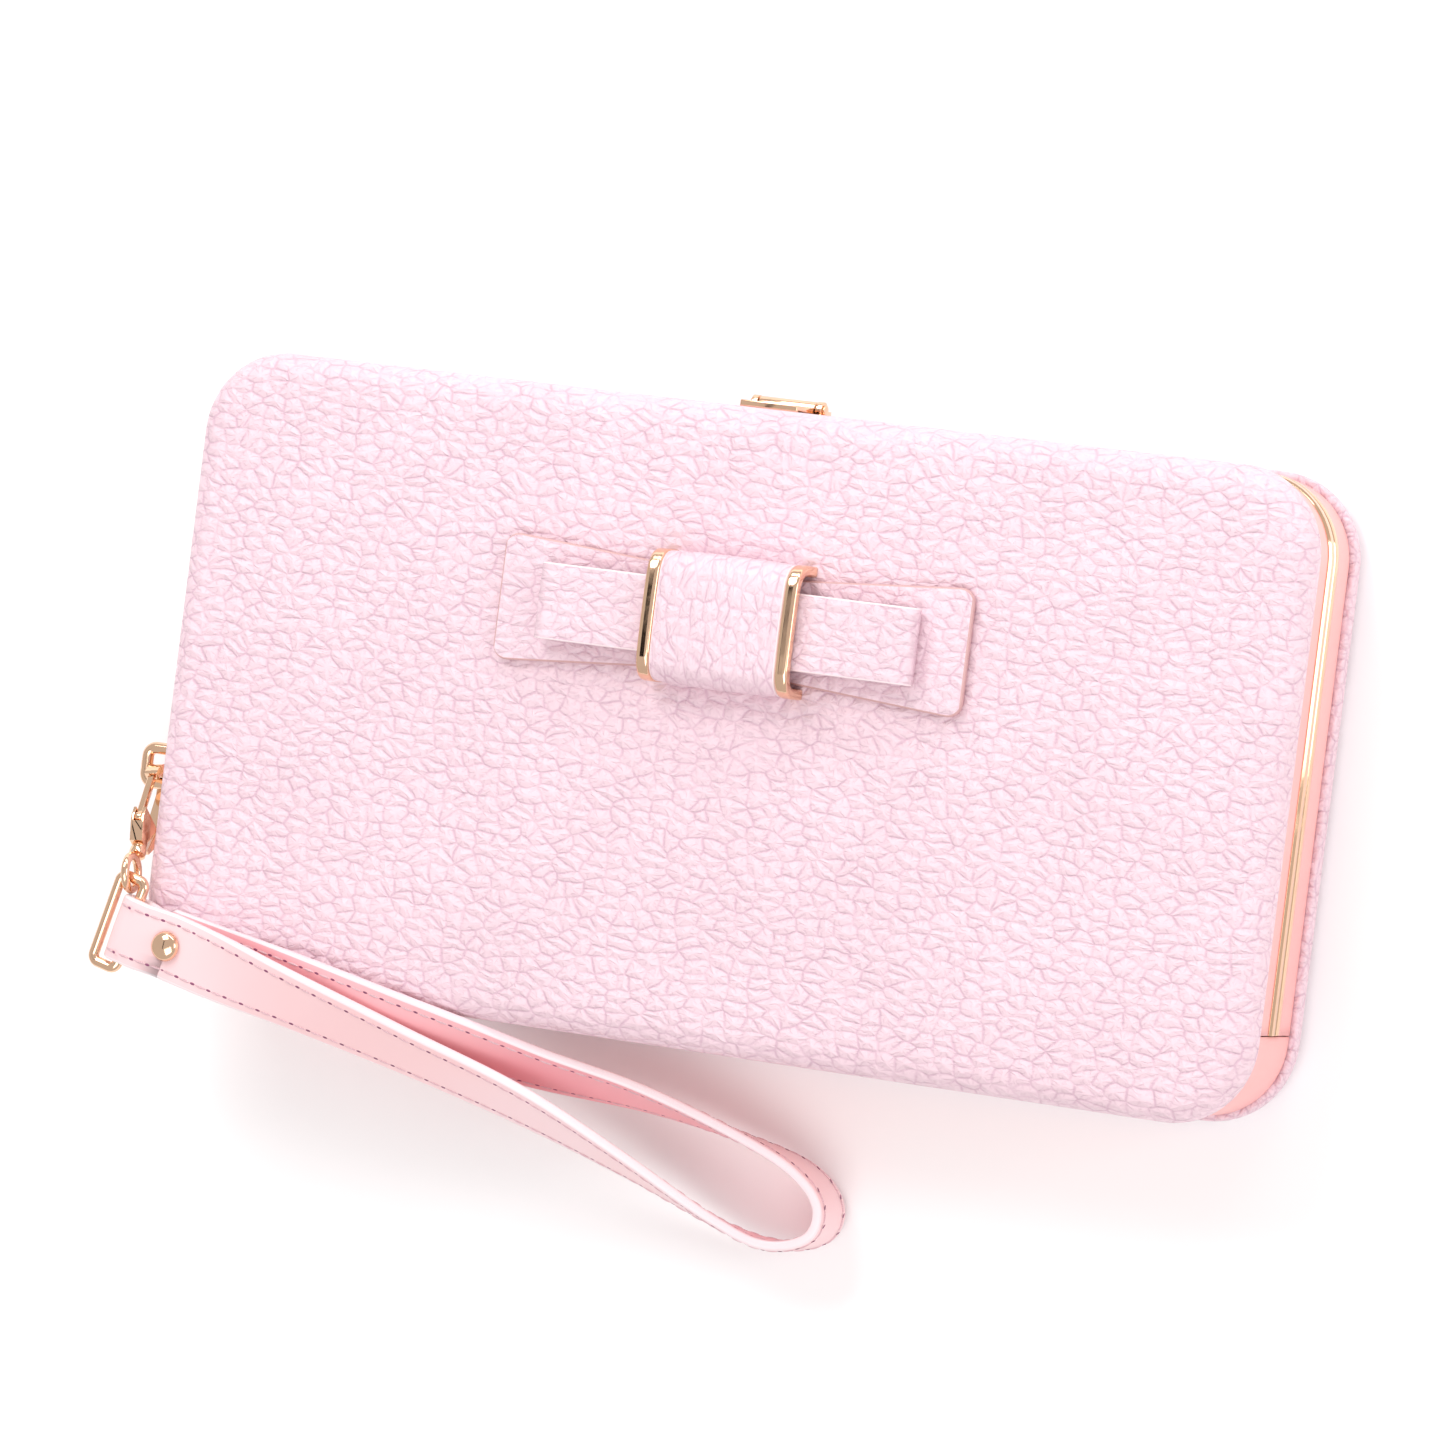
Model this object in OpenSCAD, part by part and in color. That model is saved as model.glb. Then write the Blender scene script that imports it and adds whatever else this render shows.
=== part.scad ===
// Framed clamshell wristlet wallet, lying on its back.
// X runs along the long side, Y from the hinge edge to the opening edge, Z up out of the front face.
// The origin is the centre of the flat back. The front half is the rear half mirrored in the parting plane.

/* [Case] */
// Length of the closed case
case_w = 195; // [160:1:234]
// Height of the closed case, from hinge edge to opening edge
case_h = 104; // [88:1:125]
// Thickness of the closed case
case_t = 28; // [24:1:34]
// Corner radius in plan
corner_r = 14; // [11:0.5:17]
// Rounding of the leather round the face
edge_r = 4; // [3:0.5:5]

/* [Walls] */
// Thickness of the padded leather covering
leather_t = 1.8; // [1.4:0.1:2.2]
// Height of the leather rim on each side
rim_h = 5.5; // [5:0.5:7]
// Thickness of the stiff board under the leather
board_t = 1.5; // [1.2:0.1:2]
// Thickness of the lining cloth and its glue
lining_t = 0.6; // [0.4:0.1:1]
// How far the smooth band lies inside the leather rim
band_recess = 1; // [0.6:0.1:1.4]
// Thickness of the smooth band
band_t = 0.8; // [0.5:0.1:1]

/* [Metal frame] */
// Height of each metal lip
lip_h = 2; // [1.5:0.1:2.5]
// Width of each metal lip
lip_w = 4.4; // [4:0.1:5]
// How far the metal lip lies inside the leather rim
lip_recess = 0.6; // [0.3:0.1:0.9]
// Gap between the two lips when closed
lip_gap = 0.3; // [0.2:0.1:0.6]
// Bevel on the outer edges of the lip
lip_bevel = 0.4; // [0.2:0.1:0.6]

/* [Hinge] */
// Height of the hinge axis above the hinge edge
hinge_up = 12; // [10:0.5:13]
// Radius of the round hinge ears
ear_r = 3; // [2.5:0.1:3.5]
// Thickness of each hinge ear
ear_t = 0.8; // [0.7:0.1:1]
// Side gap between the two ears of a pair
ear_gap = 0.2; // [0.1:0.05:0.3]
// Clear distance round an ear
ear_play = 0.4; // [0.3:0.1:0.8]
// Radius of the hinge pin
pin_r = 1.1; // [0.8:0.1:1.4]
// Radial running clearance on the pins
pin_fit = 0.05; // [0.02:0.01:0.1]

/* [Latch] */
// Width of the latch flap
flap_w = 10; // [8:0.5:14]
// Place of the latch along the case, from its middle
latch_x = 0; // [-20:1:20]
// Thickness of the latch flap
flap_t = 0.9; // [0.7:0.1:1.2]
// Reach of the flap from its pin to its front lip
flap_reach = 8.7; // [7:0.1:10]
// Outer radius of the rolled knuckle
knuckle_r = 1.3; // [1.2:0.1:1.6]
// Radius of the latch pin
latch_pin_r = 0.6; // [0.5:0.05:0.8]

/* [Inside] */
// Overall thickness of the coin pouch
pouch_t = 5.8; // [5:0.1:7]
// Thickness of the pocket cloth with its backing
cloth_t = 0.8; // [0.6:0.1:1]
// Height of the coin pouch above the hinge axis
pouch_h = 70; // [55:1:76]
// Height of the phone pocket above the hinge axis
phone_pocket_h = 60; // [40:1:74]
// Width of the card slots
card_w = 92; // [88:1:95]
// Number of card slots
card_slots = 4; // [2:1:4]
// Step in height from one card slot to the next
card_step = 10; // [7:1:12]
// Space kept between pockets that move past each other
pocket_play = 0.5; // [0.3:0.1:1]
// How far the side gussets fold inwards
gusset_fold = 8; // [6:0.5:10]

/* [Zip] */
// Distance between teeth of one row
tooth_pitch = 2.5; // [2:0.5:4]
// Width of one row of teeth
tooth_w = 0.9; // [0.7:0.1:1.1]
// Length of the slider
slider_l = 8; // [6:0.5:10]
// Length of the slider's pull
pull_l = 10; // [7:0.5:10]

/* [Bow] */
// Place of the bow along the case, from its middle
bow_x = 2.5; // [-20:0.5:20]
// Place of the bow above the middle of the case
bow_y = 17; // [0:0.5:20]
// Length of the back layer of the bow
tails_l = 82; // [70:1:95]
// Height of the back layer at its ends
tails_h = 21; // [18:0.5:24]
// Height of the back layer at the knot
tails_waist = 15; // [13:0.5:17]
// Thickness of the bow leather
bow_leather_t = 1.2; // [1:0.1:1.5]
// Length of the folded front loop
loop_l = 66; // [50:1:70]
// Height of the folded front loop
loop_h = 12.4; // [10:0.2:14]
// Thickness of the folded front loop
loop_t = 3.6; // [3:0.1:4]
// Width of the leather round the knot
knot_w = 22; // [18:0.5:26]
// Width of each bright rim of the knot
knot_rim = 2.2; // [1.6:0.1:3]
// Height of the knot along Y
knot_h = 21.5; // [19:0.5:24]
// Thickness of the knot's metal sleeve
sleeve_t = 0.8; // [0.6:0.1:1]

/* [Strap] */
// Width of the wrist strap
strap_w = 11; // [10:0.5:12]
// Thickness of the wrist strap
strap_t = 1.6; // [1.4:0.1:1.7]
// Radius of the ring wire
wire_r = 0.9; // [0.8:0.05:1]
// Radius of the dome of the strap rivet
dome_r = 2.6; // [2:0.1:3]

/* [Clasp] */
// Distance of the side ring above the hinge edge
ring_up = 30.6; // [29:0.2:34]
// Thickness of the clasp body
clasp_t = 2.2; // [2:0.1:2.4]
// Outer radius of the clasp's hook
hook_r = 4; // [3.8:0.1:4.4]
// Section of the clasp's hook
hook_t = 1.6; // [1.3:0.1:1.8]
// Lean of the clasp away from the case
clasp_lean = 8; // [7:0.5:9]

/* [Hidden] */

$fn = 48;
pink_leather = "pink";
salmon = "lightsalmon";
rose_gold = "goldenrod";
cloth = "mistyrose";

part_z = case_t / 2;
lip_top = part_z - lip_gap / 2;
lip_low = lip_top - lip_h;
board_in = leather_t + board_t;
floor_z = board_in + lining_t;
axis_y = -case_h / 2 + hinge_up;
// the tall walls, bands and lips start here, clear of the hinge ears
wall_y = axis_y + ear_r + ear_play;
// outer face of the outer ear, kept inside the spine where it turns the corner
corner_drop = max(0, ear_r - axis_y - (case_h / 2 - corner_r));
spine_in_r = corner_r - band_recess - band_t;
ear_clear = 0.43;
ear_x = case_w / 2 - corner_r + sqrt(spine_in_r * spine_in_r - corner_drop * corner_drop) - ear_clear;
lip_in_x = case_w / 2 - lip_recess - lip_w;
head_r = pin_r + 0.8;
head_t = 0.4;
big = 2 * case_w;
seam = 0.05;

// ---------- shapes shared by both halves ----------

// sweeps a profile drawn as [distance in from the outline, height] round the case outline
module case_ring() {
    cx = case_w / 2 - corner_r;
    cy = case_h / 2 - corner_r;
    for (c = [[cx, cy, 0], [-cx, cy, 90], [-cx, -cy, 180], [cx, -cy, 270]])
        translate([c[0], c[1], 0])
            rotate([0, 0, c[2]])
                rotate_extrude(angle = 90, $fn = 96)
                    translate([corner_r, 0]) mirror([1, 0]) children();
    for (s = [[0, 2 * cx, case_h / 2], [90, 2 * cy, case_w / 2], [180, 2 * cx, case_h / 2],
            [270, 2 * cy, case_w / 2]])
        rotate([0, 0, s[0]])
            translate([-s[1] / 2, s[2], 0])
                rotate([90, 0, 90])
                    linear_extrude(s[1]) mirror([1, 0]) children();
}

// a ring with its flat middle: z0 and t are the height and thickness of the plate
module case_tray(z0, t) {
    case_ring() children();
    translate([-case_w / 2 + corner_r, -case_h / 2 + corner_r, z0])
        cube([case_w - 2 * corner_r, case_h - 2 * corner_r, t]);
}

module ring_box(d0, d1, z0, z1) {
    case_ring() translate([d0, z0]) square([d1 - d0, z1 - z0]);
}

module above_hinge() {
    intersection() {
        children();
        translate([-big / 2, wall_y, -1]) cube([big, case_h, case_t + 2]);
    }
}

module below(y) {
    intersection() {
        children();
        translate([-big / 2, y - case_h, -1]) cube([big, case_h, case_t + 2]);
    }
}

module to_front() {
    translate([0, 0, case_t]) mirror([0, 0, 1]) children();
}

function round_edge(r, steps) =
    [for (i = [0 : steps]) [r - r * sin(90 * i / steps), r - r * cos(90 * i / steps)]];

module half_leather() {
    case_tray(0, leather_t)
        polygon(concat([[corner_r, 0]], round_edge(edge_r, 4),
            [[0, rim_h], [leather_t, rim_h], [leather_t, leather_t], [corner_r, leather_t]]));
}

module half_board() {
    case_tray(leather_t, board_t)
        polygon([[corner_r, leather_t], [leather_t, leather_t], [leather_t, rim_h],
            [board_in, rim_h], [board_in, board_in], [corner_r, board_in]]);
    above_hinge() ring_box(leather_t, board_in, rim_h, lip_low);
}

module half_band() {
    above_hinge() ring_box(band_recess, band_recess + band_t, rim_h, lip_low);
}

module half_lining() {
    case_tray(board_in, lining_t)
        polygon([[corner_r, board_in], [board_in, board_in], [board_in, rim_h],
            [floor_z, rim_h], [floor_z, floor_z], [corner_r, floor_z]]);
    above_hinge() ring_box(board_in, floor_z, rim_h, lip_low);
}

module ear(x) {
    translate([x, axis_y, part_z]) rotate([0, 90, 0]) cylinder(r = ear_r, h = ear_t);
    translate([x, axis_y, lip_low]) cube([ear_t, wall_y - axis_y + 1, lip_h]);
    translate([x, wall_y, lip_low]) cube([max(ear_t, lip_in_x + 0.3 - x), 1, lip_h]);
}

// hole_r is larger where the ear turns on the pin; layer 0 is the outer ear, 1 the inner one
module half_frame(layer, hole_r) {
    x0 = ear_x - ear_t - layer * (ear_t + ear_gap);
    difference() {
        union() {
            above_hinge() case_ring()
                polygon([[lip_recess + lip_bevel, lip_low], [lip_recess, lip_low + lip_bevel],
                    [lip_recess, lip_top - lip_bevel], [lip_recess + lip_bevel, lip_top],
                    [lip_recess + lip_w, lip_top], [lip_recess + lip_w, lip_low]]);
            ear(x0);
            mirror([1, 0, 0]) ear(x0);
        }
        translate([-big / 2, axis_y, part_z]) rotate([0, 90, 0]) cylinder(r = hole_r, h = big);
    }
}

// ---------- rear half ----------

module rear_leather() color(pink_leather) half_leather();
module rear_board() color("tan") half_board();
module rear_frame() color(rose_gold) half_frame(0, pin_r);
module rear_lining() color(cloth) half_lining();

module rear_band() {
    color(salmon) half_band();
}

module spine_leather() {
    color(salmon)
        below(wall_y - ear_gap)
            ring_box(band_recess, band_recess + band_t, rim_h, case_t - rim_h - seam);
}

module spine_lining() {
    color(cloth)
        below(axis_y - ear_r - ear_play)
            ring_box(board_in, floor_z, rim_h, case_t - rim_h - seam);
}

// three folds between the two linings, drawn as a zigzag and pulled out along Y
module gusset() {
    outer = lip_in_x - pocket_play;
    inner = outer - gusset_fold;
    z0 = floor_z + 1;
    pitch = (case_t - 2 * z0) / 6;
    // the cloth's thickness measured along X
    t = lining_t / sin(atan(pitch / gusset_fold));
    side = [for (i = [0 : 6]) [i % 2 == 0 ? outer - t : inner - t, z0 + i * pitch]];
    far = [for (i = [6 : -1 : 0]) [side[i][0] + t, side[i][1]]];
    translate([0, case_h / 2 - corner_r, 0])
        rotate([90, 0, 0])
            linear_extrude(case_h / 2 - corner_r - wall_y - pocket_play)
                polygon(concat(side, far));
}

module gusset_left() color(cloth) mirror([1, 0, 0]) gusset();
module gusset_right() color(cloth) gusset();

module hinge_pin() {
    shank = 2 * ear_t + ear_gap + 0.1;
    translate([ear_x - shank - head_t, axis_y, part_z])
        rotate([0, 90, 0]) {
            cylinder(r = head_r, h = head_t);
            cylinder(r = pin_r, h = shank + 2 * head_t);
            translate([0, 0, shank + head_t]) cylinder(r = head_r, h = head_t);
        }
}

module hinge_pins() {
    color(rose_gold) {
        hinge_pin();
        mirror([1, 0, 0]) hinge_pin();
    }
}

// ---------- latch ----------

band_y = case_h / 2 - band_recess;
bracket_t = 0.5;
knuckle_clear = 0.2;
latch_pin_y = band_y + bracket_t + knuckle_r + knuckle_clear;
latch_pin_z = lip_low - 0.65;
lug_t = 1;
lug_x = flap_w / 2 + 0.2;

module latch_lug() {
    translate([latch_x + lug_x, latch_pin_y, latch_pin_z])
        rotate([0, 90, 0]) cylinder(r = knuckle_r + 0.1, h = lug_t);
    translate([latch_x + lug_x, band_y, lip_low - 3.8]) cube([lug_t, latch_pin_y - band_y, 3.75]);
}

module latch_bracket() {
    color(rose_gold)
        difference() {
            union() {
                translate([latch_x - lug_x - lug_t, band_y, lip_low - 4.8])
                    cube([2 * (lug_x + lug_t), bracket_t, 4.8]);
                latch_lug();
                translate([2 * latch_x, 0, 0]) mirror([1, 0, 0]) latch_lug();
            }
            translate([latch_x - flap_w, latch_pin_y, latch_pin_z])
                rotate([0, 90, 0]) cylinder(r = latch_pin_r, h = 2 * flap_w);
        }
}

module latch_pin() {
    half = lug_x + lug_t;
    color(rose_gold)
        translate([latch_x - half - head_t, latch_pin_y, latch_pin_z])
            rotate([0, 90, 0]) {
                cylinder(r = latch_pin_r, h = 2 * (half + head_t));
                cylinder(r = latch_pin_r + 0.3, h = head_t);
                translate([0, 0, 2 * half + head_t]) cylinder(r = latch_pin_r + 0.3, h = head_t);
            }
}

module latch_flap() {
    plate_y = latch_pin_y + 0.2;
    color(rose_gold)
        difference() {
            translate([latch_x - flap_w / 2, 0, 0]) {
                translate([0, latch_pin_y, latch_pin_z])
                    rotate([0, 90, 0]) cylinder(r = knuckle_r, h = flap_w);
                translate([0, plate_y - flap_t, latch_pin_z])
                    cube([flap_w, flap_t, flap_reach]);
                translate([0, band_y + 0.8, latch_pin_z + flap_reach - flap_t])
                    cube([flap_w, plate_y - band_y - 0.8, flap_t]);
            }
            translate([latch_x - flap_w, latch_pin_y, latch_pin_z])
                rotate([0, 90, 0]) cylinder(r = latch_pin_r + pin_fit, h = 2 * flap_w);
        }
}

module strike_plate() {
    z0 = case_t - lip_low + 0.3;
    color(rose_gold)
        translate([latch_x - flap_w / 2 - 1, band_y, z0])
            cube([flap_w + 2, 0.4, latch_pin_z + flap_reach - z0 - 0.6]);
}

// ---------- pockets ----------

pocket_x = lip_in_x - 2 * pocket_play - gusset_fold - 2;
pocket_y = wall_y + 2;
pouch_low = part_z - pouch_t / 2;
panel_top = pouch_low - pocket_play;
panel_low = panel_top - 1;
welt_w = 2;

module phone_pocket_welt() {
    color(cloth)
        translate([0, 0, floor_z])
            linear_extrude(panel_low - floor_z)
                difference() {
                    translate([-pocket_x, pocket_y]) square([2 * pocket_x, phone_pocket_h - 6]);
                    translate([-pocket_x + welt_w, pocket_y + welt_w])
                        square([2 * (pocket_x - welt_w), phone_pocket_h]);
                }
}

module phone_pocket_panel() {
    color(cloth)
        translate([-pocket_x, pocket_y, panel_low])
            cube([2 * pocket_x, phone_pocket_h - 6, panel_top - panel_low]);
}

card_space = case_t - floor_z - (part_z + pouch_t / 2 + pocket_play);
card_pitch = card_space / card_slots;
card_cloth = card_pitch * 0.45;

// a slot: its panel, and a strip down each side and along the foot that holds it off the one behind
module card_slot(k) {
    h = 64 - k * card_step;
    top_z = case_t - floor_z - k * card_pitch;
    color(cloth)
        translate([-pocket_x, pocket_y, top_z - card_pitch + seam]) {
            cube([card_w, h, card_cloth]);
            difference() {
                cube([card_w, h, card_pitch - seam]);
                translate([welt_w, welt_w, -1]) cube([card_w - 2 * welt_w, case_h, card_pitch + 2]);
            }
        }
}

module card_slot_1() card_slot(0);
module card_slot_2() card_slot(1);
module card_slot_3() card_slot(2);
module card_slot_4() card_slot(3);

module slip_pocket() {
    w = 2 * pocket_x - card_w - welt_w;
    h = 46;
    depth = 2.4;
    color(cloth)
        translate([pocket_x - w, pocket_y, case_t - floor_z - depth])
            difference() {
                cube([w, h, depth]);
                translate([welt_w, welt_w, cloth_t]) cube([w - 2 * welt_w, case_h, depth]);
            }
}

pouch_top = pocket_y + pouch_h - 6;

module coin_pouch() {
    color(cloth)
        translate([-pocket_x, pocket_y, pouch_low])
            difference() {
                cube([2 * pocket_x, pouch_top - pocket_y, pouch_t]);
                translate([cloth_t, cloth_t, cloth_t])
                    cube([2 * (pocket_x - cloth_t), case_h, pouch_t - 2 * cloth_t]);
            }
}

// ---------- zip along the pouch's mouth ----------

zip_y = pouch_top + 0.3;
tape_t = 0.6;
tape_gap = 1.6;
row_gap = 0.4;
zip_half = pocket_x - 4;
plate_t = 0.9;
zip_clear = 0.3;
tooth_t = 1.4;

module zip_tapes() {
    color(cloth)
        for (s = [0, 1])
            translate([-pocket_x, pouch_top, part_z])
                mirror([0, 0, s])
                    translate([0, 0, tape_gap / 2])
                        cube([2 * pocket_x, tape_t, pouch_t / 2 - tape_gap / 2]);
}

module zip_teeth() {
    count = floor(2 * zip_half / tooth_pitch);
    color(rose_gold)
        for (s = [0, 1])
            for (i = [0 : count - 1])
                translate([-zip_half + (i + s / 2) * tooth_pitch, zip_y, part_z])
                    mirror([0, 0, s])
                        difference() {
                            translate([0, -tooth_t / 2, row_gap / 2])
                                cube([tooth_pitch * 0.4, tooth_t, tooth_w]);
                            translate([-1, -tape_t / 2, tape_gap / 2]) cube([tooth_pitch, tape_t, 2]);
                        }
}

module zip_stops() {
    color(rose_gold)
        for (s = [0, 1])
            mirror([s, 0, 0])
                translate([zip_half + 1, zip_y, part_z])
                    difference() {
                        translate([0, -tooth_t / 2, -1.6]) cube([1.6, tooth_t, 3.2]);
                        for (m = [0, 1])
                            mirror([0, 0, m])
                                translate([-1, -tape_t / 2, tape_gap / 2]) cube([4, tape_t, 2]);
                    }
}

slider_x = zip_half - slider_l / 2 - 1;
slider_w = 5.2;
// the lower plate runs inside the pouch, between its two walls
under_w = pouch_t - 2 * cloth_t - 0.4;
slider_top = zip_y + tooth_t / 2 + zip_clear + plate_t;
pull_y = slider_top + 1.4;
crown_t = 0.6;
crown_gap = 1.6;
pull_pin_r = 0.5;

module zip_slider() {
    color(rose_gold)
        translate([slider_x, 0, part_z]) {
            translate([-slider_l / 2, zip_y + tooth_t / 2 + zip_clear, -slider_w / 2])
                cube([slider_l, plate_t, slider_w]);
            translate([-slider_l / 2, zip_y - tooth_t / 2 - zip_clear - plate_t, -under_w / 2])
                cube([slider_l, plate_t, under_w]);
            // thin blade between the two rows of teeth joins the plates
            translate([slider_l / 2 - 1.6, zip_y - tooth_t / 2 - zip_clear, -0.1])
                cube([1.6, tooth_t + 2 * zip_clear, 0.2]);
            for (m = [0, 1])
                mirror([0, 0, m])
                    translate([-1.3, slider_top - seam, crown_gap / 2])
                        cube([2.6, pull_y - slider_top + 0.9, crown_t]);
            translate([0, pull_y, -crown_gap / 2 - crown_t])
                cylinder(r = pull_pin_r, h = crown_gap + 2 * crown_t);
        }
}

module zip_pull() {
    tag_w = 4.4;
    neck_w = crown_gap - 0.3;
    color(rose_gold)
        translate([slider_x, pull_y, part_z])
            difference() {
                union() {
                    translate([0, 0, -neck_w / 2]) cylinder(r = 1.1, h = neck_w);
                    translate([-4, -plate_t / 2, -neck_w / 2]) cube([4, plate_t, neck_w]);
                    translate([-pull_l + tag_w / 2, -plate_t / 2, -tag_w / 2])
                        cube([pull_l - tag_w / 2 - 2.6, plate_t, tag_w]);
                    translate([-pull_l + tag_w / 2, -plate_t / 2, 0])
                        rotate([-90, 0, 0]) cylinder(r = tag_w / 2, h = plate_t);
                }
                translate([0, 0, -neck_w]) cylinder(r = pull_pin_r + pin_fit, h = 2 * neck_w);
                translate([-pull_l + tag_w / 2, -plate_t, 0])
                    rotate([-90, 0, 0]) cylinder(r = 1, h = 2 * plate_t);
            }
}

// ---------- front half ----------

rivet_x = 6;
shank_r = 1;
face_z = case_t;

module bow_rivet_bores(r) {
    for (s = [-1, 1])
        translate([bow_x + s * rivet_x, bow_y, 0]) cylinder(r = r, h = 2 * case_t);
}

module side_rivet_bores(r) {
    for (s = [-1, 1])
        translate([-case_w / 2 - 1, ring_y + ring_mid + s * rivet_out, ring_z])
            rotate([0, 90, 0]) cylinder(r = r, h = board_in + 1);
}

module front_leather() {
    color(pink_leather)
        difference() {
            to_front() half_leather();
            bow_rivet_bores(shank_r);
        }
}

module front_board() {
    color("tan")
        difference() {
            to_front() half_board();
            bow_rivet_bores(shank_r);
            intersection() {
                bow_rivet_bores(2 * shank_r);
                translate([-big / 2, -big / 2, 0]) cube([big, big, case_t - board_in + 0.5]);
            }
            side_rivet_bores(side_shank_r);
        }
}

module front_band() {
    color(salmon)
        difference() {
            to_front() half_band();
            side_rivet_bores(side_shank_r);
        }
}

module front_frame() color(rose_gold) to_front() half_frame(1, pin_r + pin_fit);
module front_lining() color(cloth) to_front() half_lining();

// ---------- bow ----------

tails_top = face_z + bow_leather_t;
loop_z = tails_top + 0.6;
sleeve_in_h = bow_leather_t + 0.6 + loop_t + 0.2;

module bow_tails() {
    r = 2.5;
    end = tails_l / 2 - r;
    color(pink_leather)
        translate([bow_x, bow_y, face_z])
            difference() {
                linear_extrude(bow_leather_t)
                    for (s = [-1, 1])
                        hull() {
                            square([0.1, tails_waist], center = true);
                            for (v = [-1, 1]) translate([s * end, v * (tails_h / 2 - r)]) circle(r);
                        }
                for (s = [-1, 1]) translate([s * rivet_x, 0, -1]) cylinder(r = shank_r, h = 9);
            }
}

module flat_loop(l, t) {
    square([l - t, t], center = true);
    for (s = [-1, 1]) translate([s * (l - t) / 2, 0]) circle(t / 2);
}

module bow_loop() {
    color(pink_leather)
        translate([bow_x, bow_y + loop_h / 2, loop_z + loop_t / 2])
            rotate([90, 0, 0])
                linear_extrude(loop_h)
                    difference() {
                        flat_loop(loop_l, loop_t);
                        flat_loop(loop_l - 2 * bow_leather_t, loop_t - 2 * bow_leather_t);
                    }
}

// the knot's outline in the YZ plane, grown by g
module knot_arch(g) {
    r = 2.5 + g;
    w = knot_h / 2 - 1 + g;
    h = sleeve_in_h + sleeve_t + g;
    translate([-w, 0]) square([2 * w, h - r]);
    translate([-w + r, 0]) square([2 * (w - r), h]);
    for (s = [-1, 1]) translate([s * (w - r), h - r]) circle(r);
}

module along_bow(len) {
    translate([bow_x - len / 2, bow_y, face_z]) rotate([90, 0, 90]) linear_extrude(len) children();
}

knot_l = knot_w + 2 * knot_rim;
rim_proud = 1;

module bow_knot_sleeve() {
    color(rose_gold)
        difference() {
            union() {
                along_bow(knot_l) knot_arch(0);
                difference() {
                    along_bow(knot_l) knot_arch(rim_proud);
                    along_bow(knot_w) knot_arch(2 * rim_proud);
                }
            }
            translate([0, 0, -1]) along_bow(2 * knot_l) knot_arch(-sleeve_t);
            along_bow(2 * knot_l) knot_arch(-sleeve_t);
        }
}

module bow_knot_leather() {
    color(pink_leather)
        difference() {
            along_bow(knot_w) knot_arch(rim_proud * 0.8);
            along_bow(2 * knot_l) knot_arch(0);
        }
}

module bow_rivets() {
    z0 = case_t - board_in;
    color(rose_gold)
        for (s = [-1, 1])
            translate([bow_x + s * rivet_x, bow_y, z0]) {
                cylinder(r = 2 * shank_r, h = 0.5);
                cylinder(r = shank_r, h = tails_top - z0 + 0.5);
                translate([0, 0, tails_top - z0]) cylinder(r = 2 * shank_r, h = 0.5);
            }
}

// ---------- side ring on the front half, left ----------

side_x = -case_w / 2 + band_recess;
ring_y = -case_h / 2 + ring_up;
ring_z = case_t - rim_h - (lip_low - rim_h) / 2;
ring_plate_t = 0.7;
ring_wire_r = 1;
ring_span = 5.8;
ring_out = side_x - 7;
bend_r = 1.5;
ring_mid = ring_span / 2;
rivet_out = 5.8;
side_shank_r = 0.7;

module side_ring_plate() {
    color(rose_gold)
        translate([side_x, ring_y + ring_mid, ring_z])
            difference() {
                translate([-ring_plate_t, -rivet_out - 1.9, -2.6])
                    cube([ring_plate_t, 2 * rivet_out + 3.8, 5.2]);
                for (s = [-1, 1])
                    translate([-2, s * rivet_out, 0])
                        rotate([0, 90, 0]) cylinder(r = side_shank_r, h = 3);
            }
}

module side_ring_leg() {
    translate([ring_out + bend_r, ring_y, ring_z])
        rotate([0, 90, 0]) cylinder(r = ring_wire_r, h = side_x - ring_plate_t - ring_out - bend_r);
    translate([ring_out + bend_r, ring_y + bend_r, ring_z])
        rotate([0, 0, 180])
            rotate_extrude(angle = 90) translate([bend_r, 0]) circle(ring_wire_r);
}

module side_ring() {
    color(rose_gold) {
        side_ring_leg();
        translate([0, 2 * (ring_y + ring_mid), 0]) mirror([0, 1, 0]) side_ring_leg();
        translate([ring_out, ring_y + bend_r, ring_z])
            rotate([-90, 0, 0]) cylinder(r = ring_wire_r, h = ring_span - 2 * bend_r);
    }
}

module side_ring_rivets() {
    color(rose_gold)
        for (s = [-1, 1])
            translate([side_x - ring_plate_t - 0.5, ring_y + ring_mid + s * rivet_out, ring_z])
                rotate([0, 90, 0]) {
                    cylinder(r = 1.2, h = 0.5);
                    cylinder(r = side_shank_r, h = 0.5 + ring_plate_t + board_in - band_recess);
                }
}

// ---------- clasp: drawn with u along its length and v across it, then tilted ----------

clasp_x = side_x - 4.4;
hook_in = hook_r - hook_t;
// the hook hangs on the ring wire, which stays the centre of its swing
hook_u = hook_in - ring_wire_r - 0.4;
gate_u = hook_u + 8.4;
gate_v = hook_r - 0.9;
body_u = hook_u + 7;
body_end = body_u + 5.4;
eye_in = 2.1;
eye_wire = 0.7;
eye_u = body_end + 1.8 + eye_in + 2 * eye_wire;
// upward tilt that brings the eye level with the strap ring
clasp_tilt = asin((case_t + 2.4 - ring_z) / (eye_u * cos(clasp_lean)));

module on_clasp() {
    translate([clasp_x, ring_y, ring_z])
        rotate([-clasp_tilt, 0, 0]) rotate([0, 0, clasp_lean])
            rotate([0, 90, 0]) rotate([0, 0, 90]) mirror([1, 0, 0])
                children();
}

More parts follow.
